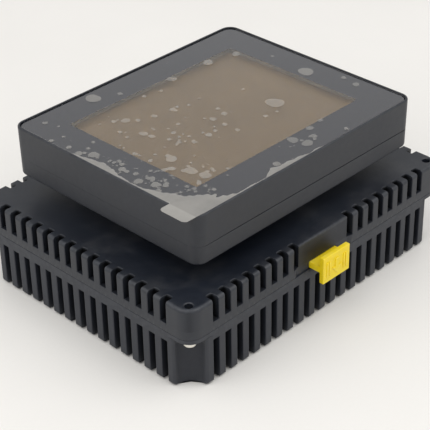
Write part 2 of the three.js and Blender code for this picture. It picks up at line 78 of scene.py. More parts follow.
def extent(node: str) -> tuple[np.ndarray, np.ndarray]:
    """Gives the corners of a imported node's box.

    Args:
        node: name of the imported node.

    Returns:
        The lowest and the highest corner, in millimetres.
    """
    low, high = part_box(node)
    return np.array(low) / MM, np.array(high) / MM


# ---------------------------------------------------------------- surfaces
@dataclass
class Surface:
    """Vertices with faces, before they become a mesh.

    Attributes:
        points: vertex places, shape (n, 3), in millimetres.
        faces: lists of vertex numbers.
        masks: named values per vertex that a material reads.
    """

    points: np.ndarray
    faces: list
    masks: dict[str, np.ndarray] = field(default_factory=dict)


def ring_faces(rings: int, around: int, closed: bool) -> np.ndarray:
    """Numbers the four-sided faces between consecutive rings.

    The face between rings i and i+1 at place j joins (i, j), (i, j+1), (i+1, j+1), (i+1, j), so it
    faces outwards when rings run counterclockwise seen from above and climb on the outside.

    Args:
        rings: number of rings.
        around: points in each ring.
        closed: whether the last ring joins the first.

    Returns:
        An array of shape (faces, 4).
    """
    row = np.arange(rings if closed else rings - 1)[:, None]
    place = np.arange(around)[None, :]
    ahead = (place + 1) % around
    above = (row + 1) % rings
    corners = [row * around + place, row * around + ahead, above * around + ahead, above * around + place]
    return np.stack(corners, axis=-1).reshape(-1, 4)


def loft(rings: Sequence[np.ndarray], closed: bool = True, masks: Optional[dict] = None) -> Surface:
    """Joins rings of equal length into one closed skin.

    Args:
        rings: point rings in order, each of shape (n, 3).
        closed: True where the last ring joins the first, False where flat caps close both ends.
        masks: named lists with one value or one row of values per ring.

    Returns:
        The closed surface.
    """
    stack = np.stack(rings)
    count, around, _ = stack.shape
    faces = ring_faces(count, around, closed).tolist()
    if not closed:
        faces.append(list(range(around))[::-1])
        faces.append([(count - 1) * around + j for j in range(around)])
    values = {
        name: np.stack([np.broadcast_to(row, around) for row in rows]).ravel()
        for name, rows in (masks or {}).items()
    }
    return Surface(stack.reshape(-1, 3), faces, values)


def merge(*surfaces: Surface) -> Surface:
    """Puts several closed surfaces into one.

    Args:
        surfaces: the surfaces, which keep their own vertices.

    Returns:
        One surface that holds them all.
    """
    faces, offset = [], 0
    names = {name for surface in surfaces for name in surface.masks}
    for surface in surfaces:
        faces += [[index + offset for index in face] for face in surface.faces]
        offset += len(surface.points)
    masks = {
        name: np.concatenate([one.masks.get(name, np.zeros(len(one.points))) for one in surfaces])
        for name in names
    }
    return Surface(np.concatenate([s.points for s in surfaces]), faces, masks)


def ring_at(flat: np.ndarray, z: float) -> np.ndarray:
    """Lifts an (n, 2) outline to height z."""
    return np.column_stack([flat, np.full(len(flat), z)])


def rectangle(half_x: float, half_y: float, radius: float, centre: tuple = (0.0, 0.0)) -> np.ndarray:
    """Draws a rectangle with round corners, counterclockwise.

    Each quarter is an arc of the radius about a centre set in from the corner, and each straight side
    is divided evenly, so rings of any size match place by place.

    Args:
        half_x: half its width.
        half_y: half its depth.
        radius: corner radius.
        centre: its middle.

    Returns:
        Points of shape (n, 2).
    """
    arc = np.linspace(0.0, math.pi / 2, 9)
    along = np.linspace(0.0, 1.0, 12)[1:-1, None]
    parts = []
    for quarter in range(4):
        turn = arc + quarter * math.pi / 2
        sign = np.array([(1, 1), (-1, 1), (-1, -1), (1, -1)][quarter])
        middle = sign * (np.array([half_x, half_y]) - radius)
        corner = middle + radius * np.column_stack([np.cos(turn), np.sin(turn)])
        parts.append(corner)
    sided = []
    for quarter, corner in enumerate(parts):
        following = parts[(quarter + 1) % 4]
        sided += [corner, corner[-1] * (1 - along) + following[0] * along]
    return np.concatenate(sided) + np.array(centre)


def unit_circle(around: int) -> tuple[np.ndarray, np.ndarray]:
    """Gives evenly spaced angles and their points on a circle of radius 1, as two columns."""
    angle = np.linspace(0, 2 * math.pi, around, endpoint=False)
    return angle, np.column_stack([np.cos(angle), np.sin(angle)])


def four_places(x: float, y: float, centre: Sequence[float] = (0.0, 0.0)) -> list[tuple[float, float]]:
    """Mirrors one place about a centre along X and Y."""
    return [(centre[0] + sx * x, centre[1] + sy * y) for sx in (-1, 1) for sy in (-1, 1)]


def circle_facing(outline: np.ndarray, centre: tuple, radius: float) -> np.ndarray:
    """Draws a circle whose points lie on the rays from its centre to an outline's points.

    Args:
        outline: the outline to face, shape (n, 2).
        centre: the circle's centre.
        radius: its radius.

    Returns:
        Points of shape (n, 2).
    """
    ray = outline - np.array(centre)
    return np.array(centre) + radius * ray / np.linalg.norm(ray, axis=1, keepdims=True)


def top_edge(top: float, radius: float, steps: int) -> list[tuple[float, float]]:
    """Gives heights and insets of a rounded top edge, from the wall to the top face.

    The height is top - r + r sin(a) and the inset r - r cos(a), for a from 0 to 90 degrees.

    Args:
        top: height of the top face.
        radius: edge radius.
        steps: number of rings.

    Returns:
        Pairs of height and inset.
    """
    turn = np.linspace(0.0, math.pi / 2, steps)
    return list(zip(top - radius + radius * np.sin(turn), radius * (1 - np.cos(turn))))


def bottom_edge(low: float, radius: float, steps: int) -> list[tuple[float, float]]:
    """Gives heights and insets of a rounded bottom edge, from the bottom face to the wall."""
    return [(low + (low - z), inset) for z, inset in reversed(top_edge(low, radius, steps))]


def turned(
    profile: Sequence[tuple], around: int, centre: tuple = (0.0, 0.0), closed: bool = False,
) -> Surface:
    """Turns a profile about a vertical axis.

    A point of the profile at radius r and height z goes round as (x + r cos a, y + r sin a, z).

    Args:
        profile: pairs of radius and height, climbing on the outside.
        around: points in each ring.
        centre: the axis' x and y.
        closed: whether the profile is a loop.

    Returns:
        The closed surface.
    """
    angle = np.linspace(0.0, 2 * math.pi, around, endpoint=False)
    unit = np.column_stack([np.cos(angle), np.sin(angle)])
    return loft([ring_at(np.array(centre) + r * unit, z) for r, z in profile], closed)


def box_surface(low: Sequence[float], high: Sequence[float], radius: float, steps: int = 4) -> Surface:
    """Makes a block with all its edges rounded.

    Its rings are rounded rectangles: the inset follows a quarter circle near the top and the bottom.

    Args:
        low: lowest corner.
        high: highest corner.
        radius: edge radius.
        steps: rings in each rounded edge.

    Returns:
        The closed surface.
    """
    half = (np.array(high) - np.array(low)) / 2
    middle = (np.array(high) + np.array(low)) / 2
    levels = bottom_edge(low[2], radius, steps) + top_edge(high[2], radius, steps)
    rings = [
        ring_at(rectangle(half[0] - inset, half[1] - inset, radius * 1.01 - inset, tuple(middle[:2])), z)
        for z, inset in levels
    ]
    edge = [[1.0 if 0 < inset < radius else 0.4] for _, inset in levels]
    return loft(rings, False, {"edge": edge})


def smooth_step(value: np.ndarray, low: float, high: float) -> np.ndarray:
    """Rises smoothly from 0 to 1 between two values, as 3t^2 - 2t^3."""
    share = np.clip((value - low) / (high - low), 0, 1)
    return share * share * (3 - 2 * share)


# ---------------------------------------------------------------- vented outline
@dataclass(frozen=True)
class Vents:
    """A row of upright slots, centred on one side of the controller.

    Attributes:
        count: how many places the row has.
        pitch: distance between two places.
        skip: places without a slot, counted along the side.
    """

    count: int
    pitch: float
    skip: tuple = ()

    def centres(self) -> np.ndarray:
        """Gives the slots' places along the side, in rising order."""
        places = (np.arange(self.count) - (self.count - 1) / 2) * self.pitch
        return np.delete(places, list(self.skip))


@dataclass(frozen=True)
class SlotShape:
    """The plan of one slot.

    Attributes:
        half: half its width at the mouth.
        depth: how far it goes in.
        mouth: radius of the edges at its mouth.
        corner: radius of its inner corners.
        draft: how much narrower each wall is at the inner end.
    """

    half: float
    depth: float
    mouth: float = 0.3
    corner: float = 0.5
    draft: float = 0.05

    def profile(self, grow: float) -> np.ndarray:
        """Draws the slot's plan as distance along the wall against depth.

        From the wall, a quarter circle turns into the slot's side, which leans in by the draft, and
        another quarter circle turns into its back. The second half mirrors the first.

        Args:
            grow: how far the outline is pushed out, as at a rounded rim.

        Returns:
            Points of shape (n, 2), with the first column rising.
        """
        half, depth = self.half + grow, self.depth + grow
        mouth, corner = max(self.mouth - grow, 0.05), self.corner + grow
        turn = np.linspace(0.0, math.pi / 2, 4)
        bend = np.linspace(0.0, math.pi / 2, 6)
        entry = np.column_stack([-(half + mouth) + mouth * np.sin(turn), mouth * (1 - np.cos(turn))])
        inner = half - self.draft
        across = -inner + corner * (1 - np.cos(bend))
        back = np.column_stack([across, depth - corner + corner * np.sin(bend)])
        left = np.concatenate([entry, back])
        return np.concatenate([left, left[::-1] * np.array([-1.0, 1.0])])


@dataclass(frozen=True)
class VentedOutline:
    """The plan of a controller shell: a rounded rectangle with slots, one pocket and corner scoops.

    Attributes:
        half_x: half the shell's width.
        half_y: half its depth.
        corner: corner radius.
        sides: slot rows of the -Y, +X, +Y and -X sides.
        slot: plan of every slot.
        pocket_half: half the width of the shallow pocket on the +Y side.
        pocket_depth: its depth.
        scoop_inset: distance of a scoop's centre from both walls.
        scoop_radius: radius of a scoop.
        horn: radius of the horn between a wall and a scoop.
        block: length of wall at each corner that belongs to the corner.
    """

    half_x: float
    half_y: float
    corner: float
    sides: tuple
    slot: SlotShape
    pocket_half: float = 0.0
    pocket_depth: float = 0.0
    scoop_inset: float = 0.9
    scoop_radius: float = 5.85
    horn: float = 0.8
    block: float = 7.8

    def _side(self, row: Vents, pocket: bool, inset: float, limit: float, grow: float) -> np.ndarray:
        """Lists distance along and depth of one side's points.

        The depth is the greatest of the inset, the pocket and the slot, the slot being held to the limit.
        """
        plan = self.slot.profile(grow)
        along = (row.centres()[:, None] + plan[None, :, 0]).ravel()
        slot = np.tile(np.minimum(plan[:, 1], limit), len(row.centres()))
        sunk = np.where(np.abs(along) < self.pocket_half, self.pocket_depth, 0.0) if pocket else 0.0
        return np.column_stack([along, np.maximum(np.maximum(slot, sunk), inset)])

    def _plain_corner(self, inset: float, least: float) -> np.ndarray:
        """Draws one corner as distances from its two walls: straight, quarter circle, straight."""
        radius = max(self.corner - inset, least)
        reach = inset + radius
        straight = np.linspace(self.block, reach, 7)
        first = np.column_stack([straight, np.full(7, inset)])[:6]
        turn = np.linspace(0.0, math.pi / 2, 12)
        arc = np.column_stack([reach - radius * np.sin(turn), reach - radius * np.cos(turn)])
        return np.concatenate([first, arc, first[::-1, ::-1]])

    def _scooped_corner(self, inset: float, grow: float) -> np.ndarray:
        """Draws one corner with its scoop: straight, horn, hollow quarter, horn, straight."""
        radius = self.scoop_radius + grow
        horn = self.horn
        rise = inset + horn - self.scoop_inset
        run = math.sqrt((radius + horn) ** 2 - rise**2)
        tip = np.array([self.scoop_inset + run, inset + horn])
        lean = math.atan2(rise, run)
        bend = np.linspace(-math.pi / 2, -math.pi + lean, 5)
        arc = tip + horn * np.column_stack([np.cos(bend), np.sin(bend)])
        first = np.concatenate([[[self.block, inset]], arc])
        sweep = np.linspace(lean, math.pi / 2 - lean, 14)[1:-1]
        hollow = self.scoop_inset + radius * np.column_stack([np.cos(sweep), np.sin(sweep)])
        return np.concatenate([first, hollow, first[::-1, ::-1]])

    def ring(
        self, z: float, inset: float = 0.0, limit: float = FULL, grow: float = 0.0,
        scoop: float = 0.0, least: float = 1.0,
    ) -> np.ndarray:
        """Draws the whole outline at one height, counterclockwise.

        Args:
            z: the height.
            inset: how far the walls stand in from the outer faces.
            limit: greatest depth that the slots reach here.
            grow: how far slots and scoops are widened.
            scoop: 0 for round corners, 1 for scooped ones.
            least: smallest corner radius.

        Returns:
            Points of shape (n, 3).
        """
        plain = self._plain_corner(inset, least)
        corner = plain if scoop == 0 else (1 - scoop) * plain + scoop * self._scooped_corner(inset, grow)
        tangents = np.array([[1, 0], [0, 1], [-1, 0], [0, -1]], float)
        inwards = np.array([[0, 1], [-1, 0], [0, -1], [1, 0]], float)
        reaches = [self.half_y, self.half_x, self.half_y, self.half_x]
        vertices = np.array([[1, -1], [1, 1], [-1, 1], [-1, -1]]) * np.array([self.half_x, self.half_y])
        parts = []
        for k in range(4):
            points = self._side(self.sides[k], k == 2, inset, limit, grow)
            wall = -inwards[k] * reaches[k]
            parts.append(wall + points[:, :1] * tangents[k] + points[:, 1:] * inwards[k])
            following = inwards[(k + 1) % 4]
            parts.append(vertices[k] + corner[:, :1] * following + corner[:, 1:] * inwards[k])
        return ring_at(np.concatenate(parts), z)

    def in_corner(self, ring: np.ndarray) -> np.ndarray:
        """Tells which of a ring's points belong to a corner."""
        gaps = np.stack([self.half_x - np.abs(ring[:, 0]), self.half_y - np.abs(ring[:, 1])])
        return gaps.max(axis=0) < self.block + 0.01

    def deep(self, ring: np.ndarray, inset: float, share: float) -> np.ndarray:
        """Masks a ring's points by how deep they lie inside a slot, for the painted shade that darkens the slots'
        insides.

        Args:
            ring: the ring.
            inset: how far the walls stand in at this height.
            share: the mask's greatest value at this height.

        Returns:
            One value per point.
        """
        gaps = np.stack([self.half_x - np.abs(ring[:, 0]), self.half_y - np.abs(ring[:, 1])])
        in_corner = gaps.max(axis=0) < self.block
        # Painted shade: rises from 0.25 mm to 1.4 mm in from the wall, a fifth as strong in the corners.
        return share * smooth_step(gaps.min(axis=0) - inset, 0.25, 1.4) * np.where(in_corner, 0.2, 1.0)


# ---------------------------------------------------------------- meshes
def to_object(name: str, surface: Surface) -> bpy.types.Object:
    """Turns a surface into an object at the origin, with its doubles merged.

    Args:
        name: the object's name.
        surface: the surface in millimetres.

    Returns:
        The object, linked to the scene.
    """
    mesh = bpy.data.meshes.new(name)
    mesh.from_pydata((surface.points * MM).tolist(), [], surface.faces)
    for mask, values in surface.masks.items():
        layer = mesh.attributes.new(mask, "FLOAT", "POINT")
        layer.data.foreach_set("value", values.astype(np.float32))
    work = bmesh.new()
    work.from_mesh(mesh)
    bmesh.ops.remove_doubles(work, verts=work.verts, dist=1e-6)
    bmesh.ops.dissolve_degenerate(work, edges=work.edges, dist=1e-7)
    work.to_mesh(mesh)
    work.free()
    mesh.validate()
    piece = bpy.data.objects.new(name, mesh)
    bpy.context.scene.collection.objects.link(piece)
    return piece


def combine(piece: bpy.types.Object, tools: Sequence[Surface], operation: Operation) -> None:
    """Cuts tool bodies out of a piece, or joins them to it.

    Args:
        piece: the object that is changed.
        tools: closed surfaces.
        operation: what the tools do.
    """
    tool = to_object(piece.name + "_tool", merge(*tools))
    modifier = piece.modifiers.new("combine", "BOOLEAN")
    modifier.operation = operation.value
    modifier.solver = "EXACT"
    modifier.object = tool
    evaluated = piece.evaluated_get(bpy.context.evaluated_depsgraph_get())
    result = bpy.data.meshes.new_from_object(evaluated)
    piece.modifiers.clear()
    piece.data = result
    bpy.data.objects.remove(tool)


def finish_piece(
    piece: bpy.types.Object, body: Body, material: bpy.types.Material,
    replaces: Sequence[str] = (), crease: float = 34.0,
) -> bpy.types.Object:
    """Smooths a piece, dresses it and puts it on its body.

    Args:
        piece: the object.
        body: the body that it rides on.
        material: its finish.
        replaces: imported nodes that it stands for.
        crease: edges sharper than this many degrees stay sharp.

    Returns:
        The same object.
    """
    mesh = piece.data
    mesh.materials.clear()
    mesh.materials.append(material)
    mesh.polygons.foreach_set("material_index", np.zeros(len(mesh.polygons), np.int32))
    mesh.polygons.foreach_set("use_smooth", np.ones(len(mesh.polygons), bool))
    mesh.set_sharp_from_angle(angle=math.radians(crease))
    even = piece.modifiers.new("even_normals", "WEIGHTED_NORMAL")
    even.keep_sharp = True
    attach(piece, body.value)
    if replaces:
        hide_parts(*replaces)
    LOG.info("%s: %d faces", piece.name, len(mesh.polygons))
    return piece


# ---------------------------------------------------------------- shader building
class Tree:
    """A node tree with short words for adding nodes and joining them."""

    def __init__(self, tree: bpy.types.NodeTree) -> None:
        """Keeps the tree that is built."""
        self.tree = tree

    def add(self, kind: str, inputs: Optional[dict] = None, **settings: object) -> bpy.types.Node:
        """Adds a node.

        Args:
            kind: node type without its prefix.
            inputs: value or output socket for each input, by name or number.
            settings: node properties.

        Returns:
            The node.
        """
        node = self.tree.nodes.new("ShaderNode" + kind)
        for name, value in settings.items():
            setattr(node, name, value)
        self.feed(node, inputs or {})
        return node

    def put(self, value: object, socket: bpy.types.NodeSocket) -> None:
        """Joins an output to an input socket, or gives the socket a plain value."""
        if isinstance(value, bpy.types.NodeSocket):
            self.tree.links.new(value, socket)
        else:
            socket.default_value = value

    def feed(self, node: bpy.types.Node, inputs: dict) -> None:
        """Puts a value or an output on each named or numbered input of a node."""
        for socket, value in inputs.items():
            self.put(value, node.inputs[socket])

    def effect(self, group: bpy.types.NodeTree, inputs: Optional[dict] = None) -> object:
        """Adds a shared effect and gives its outputs."""
        return self.add("Group", inputs, node_tree=group).outputs

    def mask(self, name: str) -> object:
        """Reads one of the mesh's masks."""
        return self.add("Attribute", attribute_name=name).outputs["Fac"]

    def bump(self, height: object, depth: float, strength: float) -> object:
        """Turns a height into a normal; the depth is in millimetres."""
        inputs = {"Height": height, "Distance": depth * MM, "Strength": strength}
        return self.add("Bump", inputs).outputs[0]

    def math(self, operation: str, first: object, second: object = 0.0, clamp: bool = False) -> object:
        """Adds a Math node and gives its output."""
        return self.add("Math", {0: first, 1: second}, operation=operation, use_clamp=clamp).outputs[0]

    def times(self, first: object, second: object, clamp: bool = False) -> object:
        """Multiplies."""
        return self.math("MULTIPLY", first, second, clamp)

    def plus(self, first: object, second: object, clamp: bool = False) -> object:
        """Adds."""
        return self.math("ADD", first, second, clamp)

    def minus(self, first: object, second: object) -> object:
        """Subtracts."""
        return self.math("SUBTRACT", first, second)

    def mix(self, factor: object, first: object, second: object, blend: str = "MIX") -> object:
        """Mixes two colours and gives the result."""
        node = self.add("Mix", {0: factor, 6: first, 7: second}, data_type="RGBA", blend_type=blend)
        return node.outputs[2]

    def span(
        self, value: object, low: float, high: float, to_low: float = 0.0, to_high: float = 1.0,
    ) -> object:
        """Maps a value smoothly from one span to another."""
        ends = {0: value, 1: low, 2: high, 3: to_low, 4: to_high}
        return self.add("MapRange", ends, interpolation_type="SMOOTHSTEP").outputs[0]

    def place(self, scale: object = (1.0, 1.0, 1.0), turn: tuple = (0.0, 0.0, 0.0)) -> object:
        """Gives Object coordinates in millimetres, scaled and turned."""
        where = self.add("TexCoord").outputs["Object"]
        size = tuple(1000.0 * s for s in scale)
        return self.add("Mapping", {"Vector": where, "Scale": size, "Rotation": turn}).outputs[0]

    def noise(self, vector: object, scale: object, detail: float = 3.0, rough: float = 0.55) -> object:
        """Adds a noise texture and gives its value."""
        inputs = {"Vector": vector, "Scale": scale, "Detail": detail, "Roughness": rough}
        return self.add("TexNoise", inputs).outputs["Fac"]


def group_tree(name: str, inputs: dict, outputs: dict) -> tuple[bpy.types.NodeTree, Tree, object, object]:
    """Starts a shader node group with named sockets.

    Args:
        name: the group's name.
        inputs: default value for each input; a 4-tuple makes a colour.
        outputs: socket type for each output.

    Returns:
        The group, its builder, and the outputs of its input node and the inputs of its output node.
    """
    group = bpy.data.node_groups.new(name, "ShaderNodeTree")
    for label, value in inputs.items():
        kind = "NodeSocketColor" if isinstance(value, tuple) else "NodeSocketFloat"
        group.interface.new_socket(label, in_out="INPUT", socket_type=kind).default_value = value
    for label, kind in outputs.items():
        group.interface.new_socket(label, in_out="OUTPUT", socket_type=kind)
    entry = group.nodes.new("NodeGroupInput")
    exit_node = group.nodes.new("NodeGroupOutput")
    return group, Tree(group), entry.outputs, exit_node.inputs


class Effects:
    """The shader effects that several finishes share, each built once."""

    def __init__(self) -> None:
        """Builds every effect."""
        self.grain = self._grain()
        self.wear = self._wear()
        self.dust = self._dust()
        self.scuffs = self._scuffs()

    @staticmethod
    def _grain() -> bpy.types.NodeTree:
        """Fine spark-eroded texture: Height from two noises, Roughness and Tone from slower ones."""
        names = {"Scale": 3.0, "Roughness": 0.5, "Spread": 0.1}
        kinds = {"Height": "NodeSocketFloat", "Roughness": "NodeSocketFloat", "Tone": "NodeSocketFloat"}
        group, tree, given, out = group_tree("mould_grain", names, kinds)
        where = tree.place()
        fine = tree.noise(where, given["Scale"], 4.0, 0.6)
        coarse = tree.noise(where, tree.times(given["Scale"], 0.35), 2.0)
        height = tree.plus(tree.times(fine, 0.65), tree.times(coarse, 0.35))
        tree.put(height, out["Height"])
        cloud = tree.noise(where, 0.045, 4.0)
        mottle = tree.noise(where, 0.6, 3.0)
        swing = tree.minus(tree.plus(cloud, mottle), 1.0)
        rough = tree.plus(given["Roughness"], tree.times(swing, given["Spread"]), True)
        tree.put(rough, out["Roughness"])
        tree.put(tree.plus(swing, 0.5, True), out["Tone"])
        return group

    @staticmethod
    def _wear() -> bpy.types.NodeTree:
        """Rubbed edges: the mesh's edge mask broken up by noise, mixed towards a worn colour."""
        names = {"Color": (0.02, 0.02, 0.02, 1.0), "Worn": (0.1, 0.1, 0.1, 1.0), "Amount": 0.5}
        kinds = {"Color": "NodeSocketColor", "Mask": "NodeSocketFloat"}
        group, tree, given, out = group_tree("edge_wear", names, kinds)
        edge = tree.mask("edge")
        broken = tree.span(tree.noise(tree.place(), 0.5, 5.0, 0.65), 0.36, 0.62)
        mask = tree.times(tree.times(edge, broken), given["Amount"], True)
        tree.put(tree.mix(mask, given["Color"], given["Worn"]), out["Color"])
        tree.put(mask, out["Mask"])
        return group

    @staticmethod
    def _dust() -> bpy.types.NodeTree:
        """Dust: a thin veil and small specks on faces that look up."""
        names = {"Color": (0.02, 0.02, 0.02, 1.0), "Dust": (0.4, 0.38, 0.35, 1.0), "Amount": 0.1}
        kinds = {"Color": "NodeSocketColor", "Mask": "NodeSocketFloat"}
        group, tree, given, out = group_tree("dust", names, kinds)
        normal = tree.add("NewGeometry").outputs["Normal"]
        upward = tree.span(tree.add("SeparateXYZ", {0: normal}).outputs["Z"], 0.2, 0.95)
        where = tree.place()
        veil = tree.span(tree.noise(where, 0.09, 5.0, 0.6), 0.42, 0.75)
        cells = tree.add("TexVoronoi", {"Vector": where, "Scale": 0.55}, feature="F1").outputs["Distance"]
        chosen = tree.span(tree.noise(where, 0.13, 2.0), 0.52, 0.6)
        specks = tree.times(tree.span(cells, 0.0, 0.1, 1.0, 0.0), chosen)
        both = tree.plus(tree.times(veil, 0.4), specks, True)
        mask = tree.times(tree.times(both, upward), given["Amount"], True)
        tree.put(tree.mix(mask, given["Color"], given["Dust"]), out["Color"])
        tree.put(mask, out["Mask"])
        return group

    @staticmethod
    def _scuffs() -> bpy.types.NodeTree:
        """Fine rub marks: noise stretched along two directions and cut to thin lines."""
        group, tree, given, out = group_tree("scuffs", {"Amount": 0.3}, {"Mask": "NodeSocketFloat"})
        lines = []
        for turn in (0.5, 2.1):
            where = tree.place((0.05, 1.6, 0.4), (0.0, 0.0, turn))
            thin = tree.math("ABSOLUTE", tree.minus(tree.noise(where, 1.0, 3.0), 0.5))
            lines.append(tree.span(thin, 0.0, 0.012, 1.0, 0.0))
        patch = tree.span(tree.noise(tree.place(), 0.05, 2.0), 0.5, 0.68)
        both = tree.times(tree.math("MAXIMUM", lines[0], lines[1]), patch)
        tree.put(tree.times(both, given["Amount"], True), out["Mask"])
        return group


Colour = tuple[float, float, float]


def opaque(colour: Colour) -> tuple[float, float, float, float]:
    """Adds full opacity to a colour."""
    return (*colour, 1.0)


def scaled(colour: Colour, factor: float) -> tuple[float, float, float, float]:
    """Brightens or darkens a colour, at full opacity."""
    return opaque(tuple(c * factor for c in colour))


def start_material(name: str) -> tuple[bpy.types.Material, Tree, bpy.types.Node]:
    """Starts a node material with only its Principled shader."""
    material = bpy.data.materials.new(name)
    material.use_nodes = True
    material.node_tree.nodes.clear()
    tree = Tree(material.node_tree)
    shader = tree.add("BsdfPrincipled")
    tree.add("OutputMaterial", {"Surface": shader.outputs[0]})
    return material, tree, shader


@dataclass(frozen=True)
class Moulded:
    """Moulded plastic or rubber with grain, rubbed edges, dust and scuffs, and painted shade deep inside slots.

    Attributes:
        name: the material's name.
        colour: the clean colour.
        worn: the colour at rubbed edges.
        roughness: the mean roughness.
        spread: how much the roughness varies.
        grain: texture scale per millimetre.
        depth: texture depth in millimetres.
        wear: how much the edges are rubbed.
        dust: how much dust lies on it.
        scuff: how many rub marks show.
        mottle: how much the tone varies.
        coat: weight of a clear coat.
        specular: the shader's specular level.
    """

    name: str
    colour: Colour
    worn: Colour = (0.12, 0.125, 0.13)
    roughness: float = 0.5
    spread: float = 0.12
    grain: float = 5.0
    depth: float = 0.012
    wear: float = 0.35
    dust: float = 0.12
    scuff: float = 0.25
    mottle: float = 0.25
    coat: float = 0.0
    specular: float = 0.5

    def build(self, effects: Effects) -> bpy.types.Material:
        """Builds the material.

        Args:
            effects: the shared node groups.

        Returns:
            The material.
        """
        material, tree, shader = start_material(self.name)
        texture = {"Scale": self.grain, "Roughness": self.roughness, "Spread": self.spread}
        grain = tree.effect(effects.grain, texture)
        shade, light = scaled(self.colour, 1 - self.mottle), scaled(self.colour, 1 + self.mottle)
        base = tree.mix(grain["Tone"], shade, light)
        worn = tree.effect(effects.wear, {"Color": base, "Worn": opaque(self.worn), "Amount": self.wear})
        dusty = tree.effect(effects.dust, {"Color": worn["Color"], "Amount": self.dust})
        scuffs = tree.effect(effects.scuffs, {"Amount": self.scuff})
        # Painted shade: deep in a slot the colour falls to 15 percent of the clean colour and turns partly metallic
        # and rougher.
        deep = tree.mask("deep")
        marked = tree.mix(scuffs["Mask"], dusty["Color"], opaque(self.worn))
        dull = tree.plus(tree.times(dusty["Mask"], 0.5), tree.times(deep, 0.5))
        tree.feed(shader, {
            "Base Color": tree.mix(deep, marked, scaled(self.colour, 0.15)),
            "Metallic": tree.times(deep, 0.8),
            "Roughness": tree.plus(grain["Roughness"], dull, True),
            "Normal": tree.bump(grain["Height"], self.depth, 0.8),
            "Specular IOR Level": self.specular,
            "Coat Weight": self.coat,
            "Coat Roughness": 0.08,
        })
        return material


@dataclass(frozen=True)
class Metal:
    """Plated or drawn metal with fine brushing and a little tarnish.

    Attributes:
        name: the material's name.
        colour: the bright colour.
        tarnish: the colour of dull spots.
        roughness: the mean roughness.
        brush: stretch of the brushing along X, Y and Z.
    """

    name: str
    colour: Colour
    tarnish: Colour
    roughness: float = 0.3
    brush: tuple = (2.0, 2.0, 8.0)

    def build(self, effects: Effects) -> bpy.types.Material:
        """Builds the material.

        Args:
            effects: the shared node groups.

        Returns:
            The material.
        """
        material, tree, shader = start_material(self.name)
        lines = tree.noise(tree.place(self.brush), 1.0, 4.0, 0.6)
        spots = tree.span(tree.noise(tree.place(), 0.35, 4.0), 0.45, 0.75)
        tone = tree.mix(spots, opaque(self.colour), opaque(self.tarnish))
        rubbed = opaque(tuple(min(1.0, c * 1.15) for c in self.colour))
        tree.feed(shader, {
            "Base Color": tree.effect(effects.wear, {"Color": tone, "Worn": rubbed})["Color"],
            "Roughness": tree.plus(self.roughness, tree.times(tree.minus(lines, 0.5), 0.3), True),
            "Normal": tree.bump(lines, 0.004, 0.6),
            "Metallic": 1.0,
        })
        return material


@dataclass(frozen=True)
class Circuit:
    """A circuit board or a flex: lacquer over copper tracks.

    Attributes:
        name: the material's name.
        lacquer: colour between the tracks.
        track: colour over the tracks.
        pitch: tracks per millimetre.
    """

    name: str
    lacquer: Colour
    track: Colour
    pitch: float = 0.55

    def build(self, effects: Effects) -> bpy.types.Material:
        """Builds the material.

        Args:
            effects: the shared node groups.

        Returns:
            The material.
        """
        material, tree, shader = start_material(self.name)
        where = tree.place()
        cells = tree.add("TexVoronoi", {"Vector": where, "Scale": 0.12}, distance="MANHATTAN")
        bars = tree.math("PINGPONG", tree.times(cells.outputs["Distance"], 12.0 * self.pitch), 0.5)
        tracks = tree.span(bars, 0.22, 0.3)
        pads = tree.add("TexVoronoi", {"Vector": where, "Scale": 0.3}).outputs["Distance"]
        vias = tree.span(pads, 0.1, 0.14, 1.0, 0.0)
        mask = tree.math("MAXIMUM", tracks, vias)
        tone = tree.mix(mask, opaque(self.lacquer), opaque(self.track))
        tree.feed(shader, {
            "Base Color": tree.effect(effects.dust, {"Color": tone, "Amount": 0.2})["Color"],
            "Roughness": tree.span(mask, 0.0, 1.0, 0.42, 0.3),
            "Normal": tree.bump(mask, 0.03, 0.7),
        })
        return material


@dataclass(frozen=True)
class Film:
    """Thin clear film: nearly clear where it sticks, milky where air lies under it.

    Attributes:
        name: the material's name.
        bubble: opacity over a bubble.
        loose: opacity where an edge is loose.
        tab: opacity of the pull tab.
        colour: colour of the haze.
    """

    name: str
    bubble: float = 0.36
    loose: float = 0.5
    tab: float = 0.62
    colour: Colour = (0.49, 0.47, 0.435)

    def build(self, effects: Effects) -> bpy.types.Material:
        """Builds the material.

        Args:
            effects: the shared node groups.

        Returns:
            The material.
        """
        material, tree, shader = start_material(self.name)
        where = tree.place()
        ripple = tree.times(tree.minus(tree.noise(where, 0.9, 4.0, 0.55), 0.5), 0.6)
        bubbles = tree.span(tree.mask("bubbles"), 0.44, 0.56)
        loose = tree.span(tree.plus(tree.mask("lifted"), ripple), 0.45, 0.57)
        haze = tree.span(tree.noise(where, 0.07, 4.0), 0.3, 0.7, 0.85, 1.1)
        scuffs = tree.effect(effects.scuffs, {"Amount": 0.15})["Mask"]
        veils = tree.plus(tree.times(loose, self.loose), tree.times(tree.mask("edge"), 0.25))
        for mask, opacity in ((bubbles, self.bubble), (tree.mask("tab"), self.tab)):
            veils = tree.math("MAXIMUM", veils, tree.times(mask, opacity))
        marked = tree.plus(tree.times(veils, haze), tree.times(scuffs, veils))
        cool = opaque((self.colour[0] * 0.92, self.colour[1] * 0.97, self.colour[2] * 1.04))
        tree.feed(shader, {
            "Alpha": tree.times(marked, tree.mask("upper"), True),
            "Base Color": tree.mix(haze, cool, opaque(self.colour)),
            "Roughness": tree.span(loose, 0.0, 1.0, 0.2, 0.32),
            "Normal": tree.bump(tree.noise(where, 0.25, 2.0), 0.05, 0.4),
        })
        material.surface_render_method = "BLENDED"
        return material


